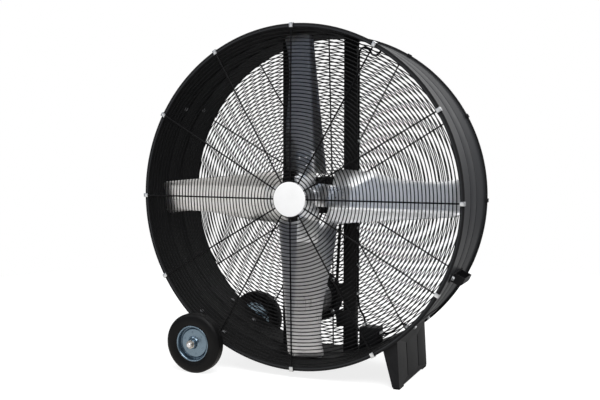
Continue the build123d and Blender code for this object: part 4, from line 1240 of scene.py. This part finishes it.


# studio

# glowingPaper is a round glow that only mirror rays see, a painted reflection of lit pale paper
studio = {
    "floorRadius": 2.6, "floorColour": (0.34, 0.34, 0.34, 1), "floorGlow": 0.82,
    "mirrorColour": (1.0, 0.955, 0.89, 1), "glowingPaper": (-0.6, -1.0, 0.0), "glowingPaperEdge": (0.8, 1.3),
    "glowingPaperLevel": (0.85, 0.08), "ambient": 0.56, "ambientColour": (0.98, 0.99, 1.0, 1),
    "sunPower": 1.3, "sunAngle": 44.0, "sunWay": (-0.25, 0.45, -0.86), "room": (0.17, 0.175, 0.19, 1),
    # what metal and paint mirror, as direction, outer and inner half angle and colour:
    # a dim room with a pale ceiling, white, cool and warm panels, and dark walls
    "panels": [
        ((0.0, 0.3, 1.0), 50, 25, (0.85, 0.87, 0.90, 1)),
        ((0.30, 0.95, 0.0), 42, 20, (0.32, 0.32, 0.33, 1)),
        ((-0.20, 0.75, 0.62), 44, 32, (1.0, 1.0, 1.0, 1)),
        ((-0.39, -0.92, -0.05), 15, 10, (1.5, 1.5, 1.5, 1)),
        ((0.10, -0.99, 0.02), 14, 6, (0.34, 0.325, 0.305, 1)),
        ((-0.62, -0.70, 0.33), 16, 6, (0.62, 0.73, 0.92, 1)),
        ((-0.62, -0.50, 0.61), 13, 11, (4.4, 4.4, 4.4, 1)),
        ((0.80, -0.60, -0.02), 34, 18, (0.030, 0.036, 0.055, 1)),
        ((-0.93, -0.28, -0.05), 40, 30, (0.060, 0.072, 0.100, 1)),
    ],
}
view = {
    "spot": (1.1162, -2.6219, 0.7589), "target": (0.0295, -0.170, 0.5839), "lens": 50.36, "sensor": 36.0,
}


def mirrorRays(tree, path):
    return sums(tree, "MAXIMUM", path["Is Glossy Ray"], path["Is Transmission Ray"])


def floorMaterial():
    # the camera sees an even glow, and what mirrors sees a painted reflection: a round warm glow standing
    # for lit pale paper, on a dark floor
    material = bpy.data.materials.new("studioFloor")
    material.use_nodes = True
    tree = material.node_tree
    tree.nodes.clear()
    path = newNode(tree, "ShaderNodeLightPath").outputs
    mirrored = mirrorRays(tree, path)
    seen = sums(tree, "MAXIMUM", path["Is Camera Ray"], mirrored)
    tone = mixedColour(tree, mirrored, (1, 1, 1, 1), studio["mirrorColour"])
    # painted reflection: the glow mirror rays see, strongest near the glowing paper's centre
    away = vectors(tree, "DISTANCE", {0: coordinates(tree), 1: studio["glowingPaper"]}, "Value")
    glowingPaper = remapped(tree, away, *studio["glowingPaperEdge"], to=studio["glowingPaperLevel"])
    level = sums(tree, "MULTIPLY", seen, mixedValue(tree, mirrored, studio["floorGlow"], glowingPaper))
    glow = make(tree, "ShaderNodeEmission", {"Color": tone, "Strength": level})
    matt = make(tree, "ShaderNodeBsdfDiffuse", {"Color": studio["floorColour"]})
    both = make(tree, "ShaderNodeAddShader", {0: glow, 1: matt})
    newNode(tree, "ShaderNodeOutputMaterial", {"Surface": both})
    return material


def studioFloor():
    form = bmesh.new()
    bmesh.ops.create_circle(form, cap_ends=True, segments=96, radius=studio["floorRadius"])
    obj = fromBmesh("studioFloor", form, faceOut=False)
    obj.data.materials.append(floorMaterial())


def studioWorld():
    world = bpy.data.worlds.new("studioWorld")
    bpy.context.scene.world = world
    world.use_nodes = True
    tree = world.node_tree
    tree.nodes.clear()
    path = newNode(tree, "ShaderNodeLightPath").outputs
    way = coordinates(tree, "Generated")
    shown = studio["room"]
    for direction, wide, narrow, colour in studio["panels"]:
        unit = tuple(Vector(direction).normalized())
        along = vectors(tree, "DOT_PRODUCT", {0: way, 1: unit}, "Value")
        edge = (math.cos(math.radians(wide)), math.cos(math.radians(narrow)))
        shown = mixedColour(tree, remapped(tree, along, *edge, how="SMOOTHSTEP"), shown, colour)
    lights = (((1, 1, 1, 1), 1.0), (shown, 1.0), (studio["ambientColour"], studio["ambient"]))
    white, mirror, soft = (make(tree, "ShaderNodeBackground", {"Color": colour, "Strength": strength})
                           for colour, strength in lights)
    lit = make(tree, "ShaderNodeMixShader", {0: mirrorRays(tree, path), 1: soft, 2: mirror})
    done = make(tree, "ShaderNodeMixShader", {0: path["Is Camera Ray"], 1: lit, 2: white})
    newNode(tree, "ShaderNodeOutputWorld", {"Surface": done})


def aimed(name, data, spot, target):
    # a lamp or camera at a spot, looking at a target
    obj = linked(name, data)
    obj.location = spot
    obj.rotation_euler = (Vector(target) - Vector(spot)).to_track_quat("-Z", "Y").to_euler()
    return obj


def sun():
    lamp = bpy.data.lights.new("overheadSun", "SUN")
    lamp.energy = studio["sunPower"]
    lamp.angle = math.radians(studio["sunAngle"])
    aimed("overheadSun", lamp, (0, 0, 0), studio["sunWay"])


def softbox(name, spot, target, size, power):
    lamp = bpy.data.lights.new(name, "AREA")
    lamp.shape = "RECTANGLE"
    lamp.size, lamp.size_y = size
    lamp.energy = power
    aimed(name, lamp, spot, target)


def photoCamera():
    lens = bpy.data.cameras.new("photoCamera")
    lens.lens = view["lens"]
    lens.sensor_width = view["sensor"]
    bpy.context.scene.camera = aimed("photoCamera", lens, view["spot"], view["target"])


studioFloor()
studioWorld()
sun()
softbox("rightBox", (2.4, 0.6, 1.7), (0.3, 0.0, 0.7), (1.6, 1.8), 22.0)
softbox("frontBox", (1.3, -1.9, 3.3), (0.0, -0.15, 0.6), (2.2, 2.2), 85.0)
photoCamera()
bpy.context.scene.view_settings.view_transform = "Standard"
print("studio lit")

bpy.context.view_layer.update()
